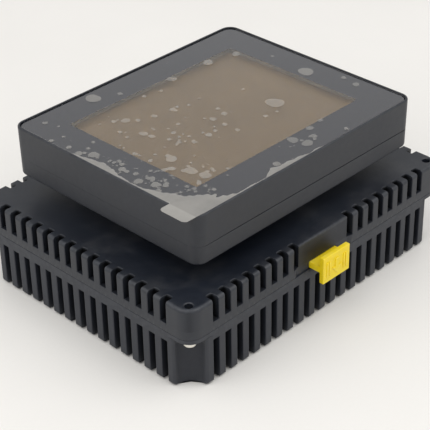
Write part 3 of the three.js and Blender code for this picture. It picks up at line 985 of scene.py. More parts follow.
@dataclass(frozen=True)
class ClearSheet:
    """The clear window of the touch overlay."""

    name: str

    def build(self, effects: Effects) -> bpy.types.Material:
        """Builds the glass: faint smears in its roughness, plain transmission."""
        material, tree, shader = start_material(self.name)
        smears = tree.noise(tree.place((0.6, 1.4, 1.0), (0.0, 0.0, 0.6)), 0.12, 4.0)
        scuffs = tree.effect(effects.scuffs)["Mask"]
        tree.feed(shader, {
            "Roughness": tree.span(smears, 0.4, 0.8, 0.03, 0.12),
            "Base Color": tree.mix(scuffs, opaque((0.96, 0.95, 0.93)), opaque((0.8, 0.8, 0.8))),
            "Transmission Weight": 1.0,
            "IOR": 1.49,
        })
        return material


@dataclass(frozen=True)
class Screen:
    """The unlit screen: a taupe polariser over a fine pixel grid."""

    name: str
    colour: Colour
    pixel: float = 0.22

    def build(self, effects: Effects) -> bpy.types.Material:
        """Builds the screen: vertical colour stripes too fine to tell apart, and slow clouds."""
        material, tree, shader = start_material(self.name)
        across = tree.add("SeparateXYZ", {0: tree.place()}).outputs
        stripe = tree.math("PINGPONG", tree.times(across["X"], 1 / self.pixel), 0.5)
        row = tree.math("PINGPONG", tree.times(across["Y"], 1 / self.pixel), 0.5)
        grid = tree.times(tree.span(stripe, 0.05, 0.15), tree.span(row, 0.05, 0.15))
        cloud = tree.noise(tree.place(), 0.03, 3.0)
        clouds = tree.mix(tree.span(cloud, 0.35, 0.65), opaque(self.colour), scaled(self.colour, 1.12))
        tree.feed(shader, {
            "Base Color": tree.mix(grid, scaled(self.colour, 0.8), clouds),
            "Roughness": tree.plus(tree.times(tree.effect(effects.dust)["Mask"], 0.4), 0.35),
        })
        return material


@dataclass(frozen=True)
class PrintedLabel:
    """A blank pale label with a printed frame line.

    Attributes:
        name: the material's name.
        centre: the label's middle in millimetres.
        half: half its width and depth.
        colour: the paper's colour.
        ink: the frame line's colour.
    """

    name: str
    centre: tuple
    half: tuple
    colour: Colour = (0.62, 0.62, 0.58)
    ink: Colour = (0.05, 0.05, 0.055)

    def build(self, effects: Effects) -> bpy.types.Material:
        """Builds the label: the frame line lies where the greater edge distance is in a narrow band."""
        material, tree, shader = start_material(self.name)
        axes = tree.add("SeparateXYZ", {0: tree.place()}).outputs
        gaps = []
        for axis, middle, half in zip("XY", self.centre, self.half):
            offset = tree.math("ABSOLUTE", tree.minus(axes[axis], middle))
            gaps.append(tree.minus(half, offset))
        near = tree.math("MINIMUM", gaps[0], gaps[1])
        line = tree.times(tree.span(near, 1.3, 1.4), tree.span(near, 1.7, 1.8, 1.0, 0.0))
        paper = tree.noise(tree.place(), 1.8, 4.0)
        tone = tree.mix(paper, scaled(self.colour, 0.9), opaque(self.colour))
        tree.feed(shader, {
            "Base Color": tree.mix(line, tone, opaque(self.ink)),
            "Roughness": tree.span(paper, 0.3, 0.7, 0.35, 0.5),
        })
        return material


class Finishes:
    """Every finish of the panel, built once."""

    def __init__(self) -> None:
        """Builds the materials."""
        effects = Effects()
        label_low, label_high = extent("rating_label")
        centre = tuple((label_low + label_high)[:2] / 2)
        half = tuple((label_high - label_low)[:2] / 2)
        worn = (0.05, 0.055, 0.065)
        self.housing = Moulded("housing_plastic", (0.0078, 0.0108, 0.0195), worn, specular=0.65).build(effects)
        self.cover = Moulded("cover_plastic", (0.0070, 0.0100, 0.0175), worn, 0.45, specular=0.6).build(effects)
        self.bezel = Moulded("bezel_plastic", (0.0070, 0.0092, 0.0155), worn, 0.48, specular=0.6).build(effects)
        self.black = Moulded("black_plastic", (0.010, 0.010, 0.011), roughness=0.4, dust=0.05).build(effects)
        self.border = Moulded(
            "printed_border", (0.012, 0.013, 0.0195), roughness=0.14, spread=0.04, grain=0.3, depth=0.004, wear=0.1,
            dust=0.0, scuff=0.0, mottle=0.1, coat=1.0,
        ).build(effects)
        self.yellow = Moulded(
            "lock_yellow", (0.88, 0.655, 0.004), worn=(0.9, 0.75, 0.12), roughness=0.42, grain=3.0, wear=0.4,
            dust=0.05, scuff=0.15, mottle=0.06,
        ).build(effects)
        self.rubber = Moulded(
            "gasket_rubber", (0.013, 0.013, 0.014), roughness=0.75, grain=2.0, depth=0.03, wear=0.2, dust=0.25,
        ).build(effects)
        self.foam = Moulded(
            "screen_foam", (0.30, 0.245, 0.175), worn=(0.3, 0.27, 0.22), roughness=0.85, grain=2.5, depth=0.05,
            wear=0.1, dust=0.1, scuff=0.0,
        ).build(effects)
        self.film = Film("clear_film").build(effects)
        self.window = ClearSheet("overlay_window").build(effects)
        self.screen = Screen("screen_face", (0.27, 0.172, 0.072)).build(effects)
        self.steel = Metal("screw_steel", (0.78, 0.76, 0.70), (0.55, 0.50, 0.42), 0.32).build(effects)
        self.socket = Metal(
            "socket_shield", (0.72, 0.73, 0.74), (0.55, 0.55, 0.54), 0.28, (8.0, 2.0, 2.0),
        ).build(effects)
        self.can = Metal("can_aluminium", (0.70, 0.70, 0.71), (0.5, 0.5, 0.5), 0.35).build(effects)
        self.gold = Metal("contact_gold", (0.86, 0.62, 0.24), (0.62, 0.42, 0.18), 0.25).build(effects)
        self.board = Circuit("board_green", (0.012, 0.075, 0.032), (0.03, 0.14, 0.06)).build(effects)
        self.flex = Circuit("flex_amber", (0.42, 0.18, 0.035), (0.56, 0.28, 0.07), 0.9).build(effects)
        self.label = PrintedLabel("blank_label", centre, half).build(effects)


# ---------------------------------------------------------------- controller module
SPLIT = 18.8  # height of the parting line between the two shells
NECK_RADIUS = 11.0
NECK_PLAY = 0.3  # how much wider a hole round the neck is
TONGUE = (18.95, 21.05)  # bottom and top of the lock slide's tongue


@dataclass
class LowerHousing:
    """The finned lower shell, open upwards, with scooped corners and connector windows."""

    wall: float = 6.0
    floor: float = 2.0
    corner: float = 5.0
    foot: float = 1.5
    foot_grow: float = 0.5
    lip: float = 0.15
    slot: SlotShape = field(default_factory=lambda: SlotShape(1.2, 4.2, 0.3, 0.6))
    slot_top: float = 15.4
    scoop_top: float = 17.3
    rim_edge: float = 0.14
    seam_gap: float = 0.05
    hole_inset: float = 3.4
    hole_radius: float = 1.6
    window_gap: float = 0.3
    post: tuple = (48.0, 24.5, 3.0, 15.05)
    windows: tuple = (
        "power_inlet", "serial_socket", "ethernet_socket", "usb_host_socket", "usb_device_socket",
    )

    def outline(self) -> VentedOutline:
        """Gives the plan, with slots on three sides and only the outer two on the connector side."""
        _, high = extent("rear_lower_housing")
        inner = tuple(range(1, 19))
        rows = (Vents(20, 5.0, inner), Vents(15, 5.15), Vents(20, 5.0), Vents(15, 5.15))
        return VentedOutline(high[0], high[1], self.corner, rows, self.slot)

    def skin(self) -> Surface:
        """Lofts the shell from the middle of its bottom, up the fins, over the rim and down inside."""
        low, _ = extent("rear_lower_housing")
        plan = self.outline()
        slim = self.slot.depth + 0.5
        rings = [plan.ring(low[2], self.wall + 1, least=0.8), plan.ring(low[2], slim, scoop=1)]
        edge = [[0.0], [0.0]]
        grow = self.foot_grow
        for z, inset in bottom_edge(low[2], self.foot, 8):
            widened = grow * max(0.0, 1 - (z - low[2]) / grow)
            rings.append(plan.ring(z, inset, scoop=1, grow=widened))
            edge.append([1.0 if inset > 0 else 0.3])
        # sunk holds the painted shade mask: points inside the fin slots are painted darker by the finish.
        sunk = [np.zeros(len(rings[0]))] * 2 + [plan.deep(ring, 0.0, 1.0) for ring in rings[2:]]
        lip = self.lip
        flat = plan.ring(self.scoop_top, limit=0)
        flange = np.where(plan.in_corner(flat)[:, None], plan.ring(self.scoop_top, lip, limit=0), flat)
        rings += [
            plan.ring(self.slot_top - 0.05, scoop=1), plan.ring(self.slot_top, limit=FULL, scoop=1),
            plan.ring(self.slot_top, limit=lip, scoop=1), plan.ring(self.slot_top + lip, limit=0, scoop=1),
            plan.ring(self.scoop_top, limit=0, scoop=1), flange,
            plan.ring(self.scoop_top + lip, limit=0, scoop=0),
        ]
        edge += [[0.0], [0.0], [0.3], [0.3], [0.0], [0.8], [0.6]]
        rim = SPLIT - self.seam_gap
        for z, inset in top_edge(rim, self.rim_edge, 4):
            rings.append(plan.ring(z, inset, limit=0))
            edge.append([0.8])
        rings += [
            plan.ring(rim, self.wall, limit=0), plan.ring(self.floor + 0.5, self.wall, limit=0),
            plan.ring(self.floor, self.wall + 0.5, limit=0),
        ]
        edge += [[0.2], [0.0], [0.0]]
        # The painted shade also covers the two rings at the slot tops; the rings above get none.
        first = len(sunk)
        sunk += [plan.deep(ring, 0.0, 1.0) for ring in rings[first:first + 2]]
        sunk += [[0.0]] * (len(rings) - len(sunk))
        return loft(rings, False, {"edge": edge, "deep": sunk})

    def build(self, finishes: Finishes) -> bpy.types.Object:
        """Builds the shell and cuts its windows, holes and label seat.

        Args:
            finishes: the panel's materials.

        Returns:
            The shell.
        """
        low, high = extent("rear_lower_housing")
        piece = to_object("lower_housing_shell", self.skin())
        cuts = []
        for node in self.windows:
            first, last = extent(node)
            near = [first[0] - self.window_gap, low[1] - 2, first[2] - self.window_gap]
            far = [last[0] + self.window_gap, low[1] + self.wall + 1, last[2] + self.window_gap]
            cuts.append(box_surface(near, far, 0.3, 2))
        label_low, label_high = extent("rating_label")
        seat = np.array([0.5, 0.5, 0.0])
        cuts.append(box_surface(label_low - seat - [0, 0, 1.5], label_high + seat + [0, 0, 0.1], 0.4, 2))
        hole = [(self.hole_radius, self.scoop_top - 1), (self.hole_radius, high[2] + 1)]
        cuts += [turned(hole, 24, axis) for axis in four_places(*(high[:2] - self.hole_inset))]
        combine(piece, cuts, Operation.CUT)
        x, y, radius, top = self.post
        posts = [turned([(radius, self.floor - 1), (radius, top)], 20, place) for place in four_places(x, y)]
        combine(piece, posts, Operation.JOIN)
        return finish_piece(
            piece, Body.CONTROLLER, finishes.housing, ["rear_lower_housing"])


@dataclass
class TopCover:
    """The upper shell with its open-topped slots, its neck hole and the lock slide's mouth."""

    wall: float = 5.0
    roof: float = 2.0
    corner: float = 5.0
    edge: float = 1.2
    slot: SlotShape = field(default_factory=lambda: SlotShape(1.2, 3.1))
    slot_floor: float = 21.8
    slot_edge: float = 0.18
    lip: float = 0.12
    seam_gap: float = 0.05
    pocket_half: float = 12.5
    pocket_depth: float = 0.5
    hole_inset: float = 3.4
    hole_radius: float = 1.3
    hole_chamfer: float = 0.28
    neck_edge: float = 0.3
    mouth_gap: float = 0.3

    def outline(self) -> VentedOutline:
        """Gives the plan, with four places left out above the lock slide."""
        _, high = extent("rear_top_cover")
        blank = tuple(range(8, 12))
        rows = (Vents(20, 5.0), Vents(15, 5.15), Vents(20, 5.0, blank), Vents(15, 5.15))
        return VentedOutline(
            high[0], high[1], self.corner, rows, self.slot, self.pocket_half, self.pocket_depth)

    def skin(self) -> Surface:
        """Lofts the shell up its wall, over the top, down the neck hole, and back inside to the rim."""
        _, high = extent("rear_top_cover")
        neck_low, neck_high = extent("neck_tube")
        centre = tuple((neck_low + neck_high)[:2] / 2)
        plan = self.outline()
        top = high[2]
        rim_low = SPLIT + self.seam_gap
        rings = [
            plan.ring(rim_low, self.lip, 0), plan.ring(rim_low + self.lip * 0.3, self.lip * 0.3, 0),
            plan.ring(rim_low + self.lip, 0, 0), plan.ring(self.slot_floor - self.lip, 0, 0),
            plan.ring(self.slot_floor - self.lip * 0.3, 0, self.lip * 0.3),
            plan.ring(self.slot_floor, 0, self.lip),
            plan.ring(self.slot_floor), plan.ring(self.slot_floor + 0.1),
        ]
        edge = [[0.3], [0.8], [0.3], [0.1], [0.6], [0.3], [0.0], [0.0]]
        # sunk holds the painted shade mask: points inside the cover slots are painted darker by the finish.
        sunk = [[0.0]] * 6 + [plan.deep(ring, 0.0, 1.0) for ring in rings[6:]]
        for z, inset in top_edge(top, self.edge, 9):
            lift = max(0.0, z - (top - self.slot_edge))
            grow = self.slot_edge - math.sqrt(max(0.0, self.slot_edge**2 - lift**2))
            rings.append(plan.ring(z, inset, grow=grow))
            edge.append([1.0 if inset > 0.05 else 0.2])
            # The painted shade fades out over the top 0.9 mm, towards the top face.
            sunk.append(plan.deep(rings[-1], inset, min(1.0, (top - z) / 0.9)))
        inner = self.slot.depth + self.slot_edge + 0.15
        rim = plan.ring(top, inner)
        hole = NECK_RADIUS + NECK_PLAY
        round_edge = self.neck_edge
        rings += [
            plan.ring(top, self.edge + 0.12, grow=self.slot_edge + 0.02), rim,
            ring_at(circle_facing(rim[:, :2], centre, hole + round_edge), top),
            ring_at(circle_facing(rim[:, :2], centre, hole + round_edge * 0.3), top - round_edge * 0.3),
            ring_at(circle_facing(rim[:, :2], centre, hole), top - round_edge),
            ring_at(circle_facing(rim[:, :2], centre, hole), top - self.roof),
            plan.ring(top - self.roof, self.wall + 0.4, least=2.0),
            plan.ring(top - self.roof - 0.4, self.wall, least=2.0),
            plan.ring(rim_low, self.wall, least=2.0),
        ]
        edge += [[0.25], [0.0], [0.0], [0.5], [0.3], [0.0], [0.0], [0.0], [0.0]]
        sunk += [[0.0]] * 9
        return loft(rings, True, {"edge": edge, "deep": sunk})

    def build(self, finishes: Finishes) -> bpy.types.Object:
        """Builds the cover and cuts its screw holes and the mouth of the lock slide.

        Args:
            finishes: the panel's materials.

        Returns:
            The cover.
        """
        low, high = extent("rear_top_cover")
        piece = to_object("top_cover_shell", self.skin())
        radius, chamfer = self.hole_radius, self.hole_chamfer
        cuts = []
        profile = [
            (radius, low[2] - 1), (radius, high[2] - chamfer), (radius + chamfer, high[2]),
            (radius + chamfer, high[2] + 1),
        ]
        cuts += [turned(profile, 32, axis) for axis in four_places(*(high[:2] - self.hole_inset))]
        lock_low, lock_high = extent("lock_slide")
        tongue_top = TONGUE[1] + self.mouth_gap
        near = [lock_low[0] - self.mouth_gap, high[1] - self.wall - 2, low[2] - 2]
        cuts.append(box_surface(near, [lock_high[0] + self.mouth_gap, high[1] + 2, tongue_top], 0.25, 2))
        combine(piece, cuts, Operation.CUT)
        return finish_piece(piece, Body.CONTROLLER, finishes.cover, ["rear_top_cover"])


@dataclass
class Screws:
    """A set of round-head screws seen from below, each with a hexagonal socket."""

    prefix: str
    count: int
    socket: float
    recess: float
    short: float = 2.0

    def head(self, node: str) -> Surface:
        """Turns the screw; in the socket the radius is a / cos(angle from the nearest flat).

        Args:
            node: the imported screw.

        Returns:
            The screw's surface, from its socket out over the head and up the threaded shaft.
        """
        low, high = extent(node)
        centre = (low + high)[:2] / 2
        head = (high - low)[0] / 2
        shaft = head * 0.58
        angle, unit = unit_circle(48)
        sector = math.pi / 3
        flat = self.socket / np.cos((angle + sector / 2) % sector - sector / 2)
        collar = low[2] + 1.6
        hexagon = [(0.3, self.recess + 0.25), (1.0, self.recess), (1.0, 0.25), (1.12, 0.0)]
        rings = [ring_at(centre + unit * (flat * k)[:, None], low[2] + dz) for k, dz in hexagon]
        bend = np.linspace(0, math.pi / 2, 7)
        dome = head * 0.45
        profile = list(zip(head - dome + dome * np.sin(bend), low[2] + dome * (1 - np.cos(bend)) * 0.9))
        profile += [(head, collar - 0.1), (head - 0.1, collar), (shaft, collar)]
        end = high[2] - self.short
        turns = np.arange(collar + 0.3, end - 0.4, 0.2)
        profile += [(shaft - 0.09 * (k % 2), z) for k, z in enumerate(turns)]
        profile += [(shaft * 0.6, end)]
        rings += [ring_at(centre + r * unit, z) for r, z in profile]
        return loft(rings, False, {"edge": [[0.3]] * len(rings)})

    def build(self, finishes: Finishes, body: Body) -> None:
        """Builds every screw of the set on one body."""
        for k in range(1, self.count + 1):
            node = f"{self.prefix}_{k}"
            piece = to_object(f"{self.prefix}_body_{k}", self.head(node))
            finish_piece(piece, body, finishes.steel, [node], 40.0)


ROOT = 0.4  # how deep a raised shape reaches into the piece that carries it


@dataclass
class LockSlide:
    """The yellow slide: a face plate with raised grips and an arrow, and a flat tongue.

    Attributes:
        plate_depth: thickness of the face plate with its raised shapes.
        proud: height of the raised shapes.
        edge: rounding of the plate.
        tongue_edge: rounding of the tongue.
        shaft: half width, low end and high end of the arrow's shaft, from the plate's middle.
        point: half width, base and tip of the arrow's head.
        bars: places of the grip bars along X.
        bar_half: half width and half height of a bar.
        bar_edge: rounding of a bar.
        slit: ends of the slit in the tongue, along Y.
    """

    plate_depth: float = 2.0
    proud: float = 0.28
    edge: float = 0.3
    tongue_edge: float = 0.2
    shaft: tuple = (0.85, -0.6, 2.6)
    point: tuple = (2.2, -0.35, -2.9)
    bars: tuple = (-4.4, -3.3, 3.3, 4.4)
    bar_half: tuple = (0.35, 2.6)
    bar_edge: float = 0.16
    slit: tuple = (24.0, 38.0)

    def raised(self, outline: Sequence[tuple], face: float, middle: float) -> Surface:
        """Raises a plain flat shape on the plate, with its edges sloped.

        Args:
            outline: the shape's corners, sideways and upwards from the plate's middle, counterclockwise.
            face: the plate's outer face.
            middle: height of the plate's middle.

        Returns:
            The shape's surface.
        """
        plan = np.array(outline)
        centre = plan.mean(axis=0)
        rings = []
        slope = ((0.0, -ROOT), (0.0, self.proud * 0.5), (0.06, self.proud * 0.85), (0.16, self.proud))
        for shrink, out in slope:
            away = plan - centre
            flat = centre + away * (1 - shrink / np.linalg.norm(away, axis=1))[:, None]
            depth = np.full(len(flat), face + out)
            rings.append(np.column_stack([-flat[:, 0], depth, middle + flat[:, 1]]))
        return loft(rings, False, {"edge": [[0.4], [0.4], [0.8], [0.8]]})

    def build(self, finishes: Finishes) -> bpy.types.Object:
        """Builds the slide.

        Args:
            finishes: the panel's materials.

        Returns:
            The slide.
        """
        low, high = extent("lock_slide")
        face = high[1] - self.proud
        back = high[1] - self.plate_depth
        plate = box_surface([low[0], back, low[2]], [high[0], face, high[2]], self.edge, 4)
        near = [low[0], low[1], TONGUE[0]]
        tongue = box_surface(near, [high[0], face - self.plate_depth / 4, TONGUE[1]], self.tongue_edge, 3)
        middle = (low[2] + high[2]) / 2
        half, tall = self.bar_half
        bars = [
            box_surface(
                [x - half, face - ROOT, middle - tall], [x + half, face + self.proud, middle + tall],
                self.bar_edge, 3)
            for x in self.bars
        ]
        wide, low_end, high_end = self.shaft
        corners = [(-wide, low_end), (wide, low_end), (wide, high_end), (-wide, high_end)]
        shaft = self.raised(corners, face, middle)
        wide, base, tip = self.point
        head = self.raised([(0.0, tip), (wide, base), (-wide, base)], face, middle)
        piece = to_object("lock_slide_body", plate)
        combine(piece, [tongue], Operation.JOIN)
        combine(piece, bars + [shaft], Operation.JOIN)
        combine(piece, [head], Operation.JOIN)
        near, far = [low[0] / 2, self.slit[0], low[2] - 5.2], [high[0] / 2, self.slit[1], high[2] + 5.5]
        slit = box_surface(near, far, 0.5, 2)
        combine(piece, [slit], Operation.CUT)
        return finish_piece(piece, Body.LOCK, finishes.yellow, ["lock_slide"])


@dataclass(frozen=True)
class Fitting:
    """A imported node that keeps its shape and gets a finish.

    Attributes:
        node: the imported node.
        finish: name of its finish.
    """

    node: str
    finish: str

    def dress(self, finishes: Finishes) -> None:
        """Puts the finish on the node's material slots."""
        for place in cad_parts[self.node].material_slots:
            place.material = getattr(finishes, self.finish)


@dataclass
class Electronics:
    """Boards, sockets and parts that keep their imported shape."""

    fittings: tuple = (
        Fitting("main_board", "board"), Fitting("processor", "black"), Fitting("supply_capacitor", "can"),
        Fitting("supply_inductor", "black"), Fitting("clock_battery", "steel"), Fitting("battery_holder", "black"),
        Fitting("buzzer", "black"), Fitting("power_inlet", "black"), Fitting("serial_socket", "socket"),
        Fitting("ethernet_socket", "socket"), Fitting("usb_host_socket", "socket"),
        Fitting("usb_device_socket", "socket"), Fitting("neck_socket", "black"), Fitting("rating_label", "label"),
        Fitting("neck_connector", "black"), Fitting("rotation_key", "black"), Fitting("lcd_panel", "screen"),
        Fitting("backlight_tray", "socket"), Fitting("display_board", "board"), Fitting("screen_ribbon", "flex"),
    )
    contact_pitch: float = 1.02
    contact_size: tuple = (0.22, 0.3)

    def contacts(self, node: str, count: int, height: float, reach: tuple, finishes: Finishes) -> None:
        """Adds a row of gold contacts inside a socket's mouth.

        Args:
            node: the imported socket.
            count: how many contacts.
            height: how far the row lies above the socket's bottom.
            reach: distances of its ends behind the socket's face.
            finishes: the panel's materials.
        """
        low, high = extent(node)
        middle = (low[0] + high[0]) / 2
        places = middle + (np.arange(count) - (count - 1) / 2) * self.contact_pitch
        half, thick = self.contact_size
        near, far = low[1] + reach[0], low[1] + reach[1]
        floor = low[2] + height
        wires = [box_surface([x - half, near, floor], [x + half, far, floor + thick], 0.1, 2) for x in places]
        piece = to_object(node + "_contacts", merge(*wires))
        finish_piece(piece, Body.CONTROLLER, finishes.gold)

    def build(self, finishes: Finishes) -> None:
        """Dresses every fitting and adds the contacts."""
        for fitting in self.fittings:
            fitting.dress(finishes)
        self.contacts("serial_socket", 8, 6.95, (2.5, 6.9), finishes)
        self.contacts("ethernet_socket", 8, 6.95, (2.5, 6.9), finishes)
        LOG.info("electronics: %d packed pieces dressed", len(self.fittings))


# ---------------------------------------------------------------- neck
@dataclass
class Neck:
    """The threaded neck, its ring nut and panel gasket."""

    bore: float = 8.7
    groove: tuple = (18.7, 21.3)
    pitch: float = 1.5
    thread: float = 0.28
    thread_low: float = 26.0
    nut_play: float = 0.12
    around: int = 96
    lobes: int = 12
    lobe_depth: float = 0.7
    nut_edge: float = 0.6
    gasket_width: float = 3.0

    def tube(self) -> Surface:
        """Lofts the tube; on the thread the radius is r - d (0.5 - 0.5 cos(2 pi z / pitch - angle))."""
        low, high = extent("neck_tube")
        centre = (low + high)[:2] / 2
        angle, unit = unit_circle(self.around)
        outer, inner, flange = NECK_RADIUS, self.bore, (high - low)[0] / 2
        shoulder, root = outer - 0.15, outer - 1.0
        groove_low, groove_high = self.groove
        rings = [ring_at(centre + r * unit, z) for r, z in (
            (inner, low[2] + 0.3), (inner + 0.3, low[2]), (outer - 0.6, low[2]), (outer, low[2] + 0.6),
            (outer, groove_low - 0.1), (shoulder, groove_low), (root, groove_low + 0.05),
            (root, groove_high - 0.05), (shoulder, groove_high), (outer, groove_high + 0.1),
            (outer, self.thread_low),
        )]
        flange_low = high[2] - 2.0
        for z in np.arange(self.thread_low + 0.15, flange_low - 0.3, 0.15):
            wave = 0.5 - 0.5 * np.cos(2 * math.pi * z / self.pitch - angle)
            fade = min(1.0, (z - self.thread_low) / self.pitch, (flange_low - 0.3 - z) / 0.6)
            rings.append(ring_at(centre + unit * (outer - self.thread * fade * wave)[:, None], z))
        rings += [ring_at(centre + r * unit, z) for r, z in (
            (outer, flange_low), (flange - 0.2, flange_low), (flange, flange_low + 0.2),
            (flange, high[2] - 0.3), (flange - 0.3, high[2]), (inner + 0.3, high[2]), (inner, high[2] - 0.3),
        )]
        return loft(rings, True, {"edge": [[0.3]] * len(rings)})

    def nut(self) -> Surface:
        """Lofts the ring nut; its rim's radius is R - d cos^6(lobes angle / 2), a row of finger grips."""
        low, high = extent("fixing_nut")
        neck_low, neck_high = extent("neck_tube")
        centre = (neck_low + neck_high)[:2] / 2
        angle, unit = unit_circle(2 * self.around)
        rim = (high - low)[1] / 2
        bore = NECK_RADIUS + self.nut_play
        grip = self.lobe_depth * np.cos(self.lobes * angle / 2) ** 6
        rings = [ring_at(centre + unit * (bore + out), low[2]) for out in (0.4, 1.6)]
        levels = bottom_edge(low[2], self.nut_edge, 5) + top_edge(high[2], self.nut_edge, 5)
        rings += [ring_at(centre + unit * (rim - grip - inset)[:, None], z) for z, inset in levels]
        inside = ((1.6, high[2]), (0.4, high[2]), (0.0, high[2] - 0.4), (0.0, low[2] + 0.4))
        rings += [ring_at(centre + unit * (bore + out), z) for out, z in inside]
        edge = [[0.2], [0.2]] + [[0.9 if inset > 0 else 0.3] for _, inset in levels] + [[0.2]] * 4
        return loft(rings, True, {"edge": edge})

    def gasket(self) -> Surface:
        """Sweeps a ribbed section round the gasket's path: two lips below, flat above."""
        low, high = extent("panel_gasket")
        centre = tuple((low + high)[:2] / 2)
        half = (high - low)[:2] / 2
        width, proud = self.gasket_width, 0.35
        lip = ((0.0, low[2] + proud), (0.35, low[2]), (0.8, low[2]), (1.15, low[2] + proud))
        section = [(0.0, high[2]), (width, high[2])]
        section += [(width - d, z) for d, z in lip] + list(lip[::-1])
        rings = [ring_at(rectangle(half[0] - d, half[1] - d, 4.2 - d, centre), z) for d, z in section[::-1]]
        return loft(rings, True, {"edge": [[0.3]] * len(rings)})

    def build(self, finishes: Finishes) -> None:
        """Builds the neck's pieces."""
        tube = to_object("neck_tube_body", self.tube())
        finish_piece(tube, Body.DISPLAY, finishes.bezel, ["neck_tube"])
        nut = to_object("ring_nut", self.nut())
        finish_piece(nut, Body.NUT, finishes.black, ["fixing_nut"])
        gasket = to_object("panel_seal", self.gasket())
        finish_piece(gasket, Body.DISPLAY, finishes.rubber, ["panel_gasket"])


# ---------------------------------------------------------------- display module
@dataclass
class DisplayShells:
    """The front bezel and the back shell, which lean in a little towards the back.

    The seam between them is open on three sides and closes towards the +X side.
    """

    corner: float = 4.0
    lean: float = 0.25
    crest: float = 53.68
    top_radius: float = 0.45
    crest_width: float = 0.2
    inner_radius: float = 0.12
    foot_radius: float = 0.9
    seam_edge: float = 0.16
    wall: float = 2.2
    ledge_top: float = 51.98
    ledge_low: float = 51.2
    window: tuple = (38.0, 29.25)
    back_wall: float = 2.4
    key_gap: float = 0.3
    boss: tuple = (44.2, 35.4, 2.9)

    def _frame(self) -> tuple[np.ndarray, np.ndarray, float, float]:
        """Gives the display's half sizes, centre, top and bottom."""
        low, high = extent("front_bezel")
        back_low, _ = extent("display_back_shell")
        return (high - low)[:2] / 2, (low + high)[:2] / 2, high[2], back_low[2]

    def ring(self, z: float, inset: float, least: float = 0.4) -> np.ndarray:
        """Draws the leaning outline; its extra inset is lean (top - z) / height.

        Args:
            z: height of the ring.
            inset: distance in from the leaning wall.
            least: smallest corner radius.

        Returns:
            Points of shape (n, 3).
        """
        half, centre, top, bottom = self._frame()
        inset = inset + self.lean * max(0.0, top - z) / (top - bottom)
        radius = max(self.corner - inset, least)
        return ring_at(rectangle(half[0] - inset, half[1] - inset, radius, tuple(centre)), z)

    def seam_rings(self, upwards: bool) -> list:
        """Draws the rounded lip beside the seam, from the rim to the wall for the bezel.

        The gap's half height is 0.02 + 0.06 w, and the lip's radius is scaled by w as well, where w
        falls smoothly from 1 to 0 towards the +X side.

        Args:
            upwards: True for the bezel above the seam, False for the back shell below it.

        Returns:
            Three rings, in climbing order.
        """
        low, _ = extent("front_bezel")
        _, back_high = extent("display_back_shell")
        middle = (low[2] + back_high[2]) / 2
        side = 1.0 if upwards else -1.0
        half, centre, _, _ = self._frame()
        rings = []
        for share, rise in ((1.0, 0.0), (0.3, 0.3), (0.0, 1.0)):
            outer, inner = self.ring(middle, 0.0), self.ring(middle, self.seam_edge * share)
            open_share = smooth_step(centre[0] + half[0] - outer[:, 0], 1.0, 9.0)[:, None]
            ring = outer * (1 - open_share) + inner * open_share
            reach = 0.02 + open_share[:, 0] * 0.06 + self.seam_edge * rise * (0.1 + 0.9 * open_share[:, 0])
            ring[:, 2] = middle + side * reach
            rings.append(ring)
        return rings if upwards else rings[::-1]

    def bezel(self) -> Surface:
        """Lofts the bezel up its wall, over the thin crest, down to the ledge and round the window."""
        low, _ = extent("front_bezel")
        _, centre, _, _ = self._frame()
        rings = self.seam_rings(True)
        edge = [[0.2], [0.5], [0.2]]
        for z, inset in top_edge(self.crest, self.top_radius, 6):
            rings.append(self.ring(z, inset))
            edge.append([0.9 if inset > 0.02 else 0.15])
        inside = self.top_radius + self.crest_width
        turn = np.linspace(0, math.pi / 2, 4)
        small = self.inner_radius
        for angle in turn:
            height = self.crest - small * (1 - math.cos(angle))
            rings.append(self.ring(height, inside + small * math.sin(angle)))
            edge.append([0.5])
        seat = inside + small
        opening = rectangle(self.window[0], self.window[1], 0.4, tuple(centre))
        rings += [
            self.ring(self.ledge_top, seat), ring_at(opening, self.ledge_top),
            ring_at(opening, self.ledge_low), self.ring(self.ledge_low, self.wall),
            self.ring(low[2] + 1.0, self.wall), self.ring(low[2], self.wall),
        ]
        edge += [[0.0], [0.1], [0.0], [0.0], [0.0], [0.0]]
        return loft(rings, True, {"edge": edge})

    def back(self) -> Surface:
        """Lofts the back shell out from its neck hole, round the gasket groove, up and down inside."""
        _, high = extent("display_back_shell")
        gasket_low, gasket_high = extent("panel_gasket")
        _, centre, _, bottom = self._frame()
        half = (gasket_high - gasket_low)[:2] / 2
        hole = NECK_RADIUS + NECK_PLAY
        groove_top = gasket_high[2] + 0.1
        middle = tuple(centre)
        inner = rectangle(half[0] - 3.3, half[1] - 3.3, 1.6, middle)
        outer = rectangle(half[0] + 0.3, half[1] + 0.3, 4.2, middle)
        facing = circle_facing(inner, middle, hole)
        wide = circle_facing(inner, middle, hole + 0.4)
        rings = [
            ring_at(facing, bottom + 0.4), ring_at(wide, bottom), ring_at(inner, bottom),
            ring_at(inner, groove_top), ring_at(outer, groove_top), ring_at(outer, bottom),
        ]
        edge = [[0.2], [0.2], [0.3], [0.0], [0.0], [0.3]]
        for z, inset in bottom_edge(bottom, self.foot_radius, 7):
            rings.append(self.ring(z, inset))
            edge.append([1.0 if inset > 0.02 else 0.2])
        floor = bottom + self.back_wall
        rings += self.seam_rings(False)
        rings += [
            self.ring(high[2], self.wall), self.ring(floor + 0.4, self.wall),
            self.ring(floor, self.wall + 0.4), ring_at(facing, floor),
        ]
        edge += [[0.2], [0.5], [0.2], [0.0], [0.0], [0.0], [0.0]]
        return loft(rings, True, {"edge": edge})

    def gate_mark(self) -> Surface:
        """Makes the small round witness mark of the moulding gate on the +X side."""
        _, high = extent("front_bezel")
        _, unit = unit_circle(16)
        middle = np.array([-0.5, 47.4])
        rings = []
        for radius, sunk in ((0.45, 0.66), (0.45, 0.31), (0.38, 0.22), (0.15, 0.19)):
            rings.append(np.column_stack([np.full(len(unit), high[0] - sunk), middle + radius * unit]))
        return loft(rings, False, {"edge": [[5.0]] * 4})

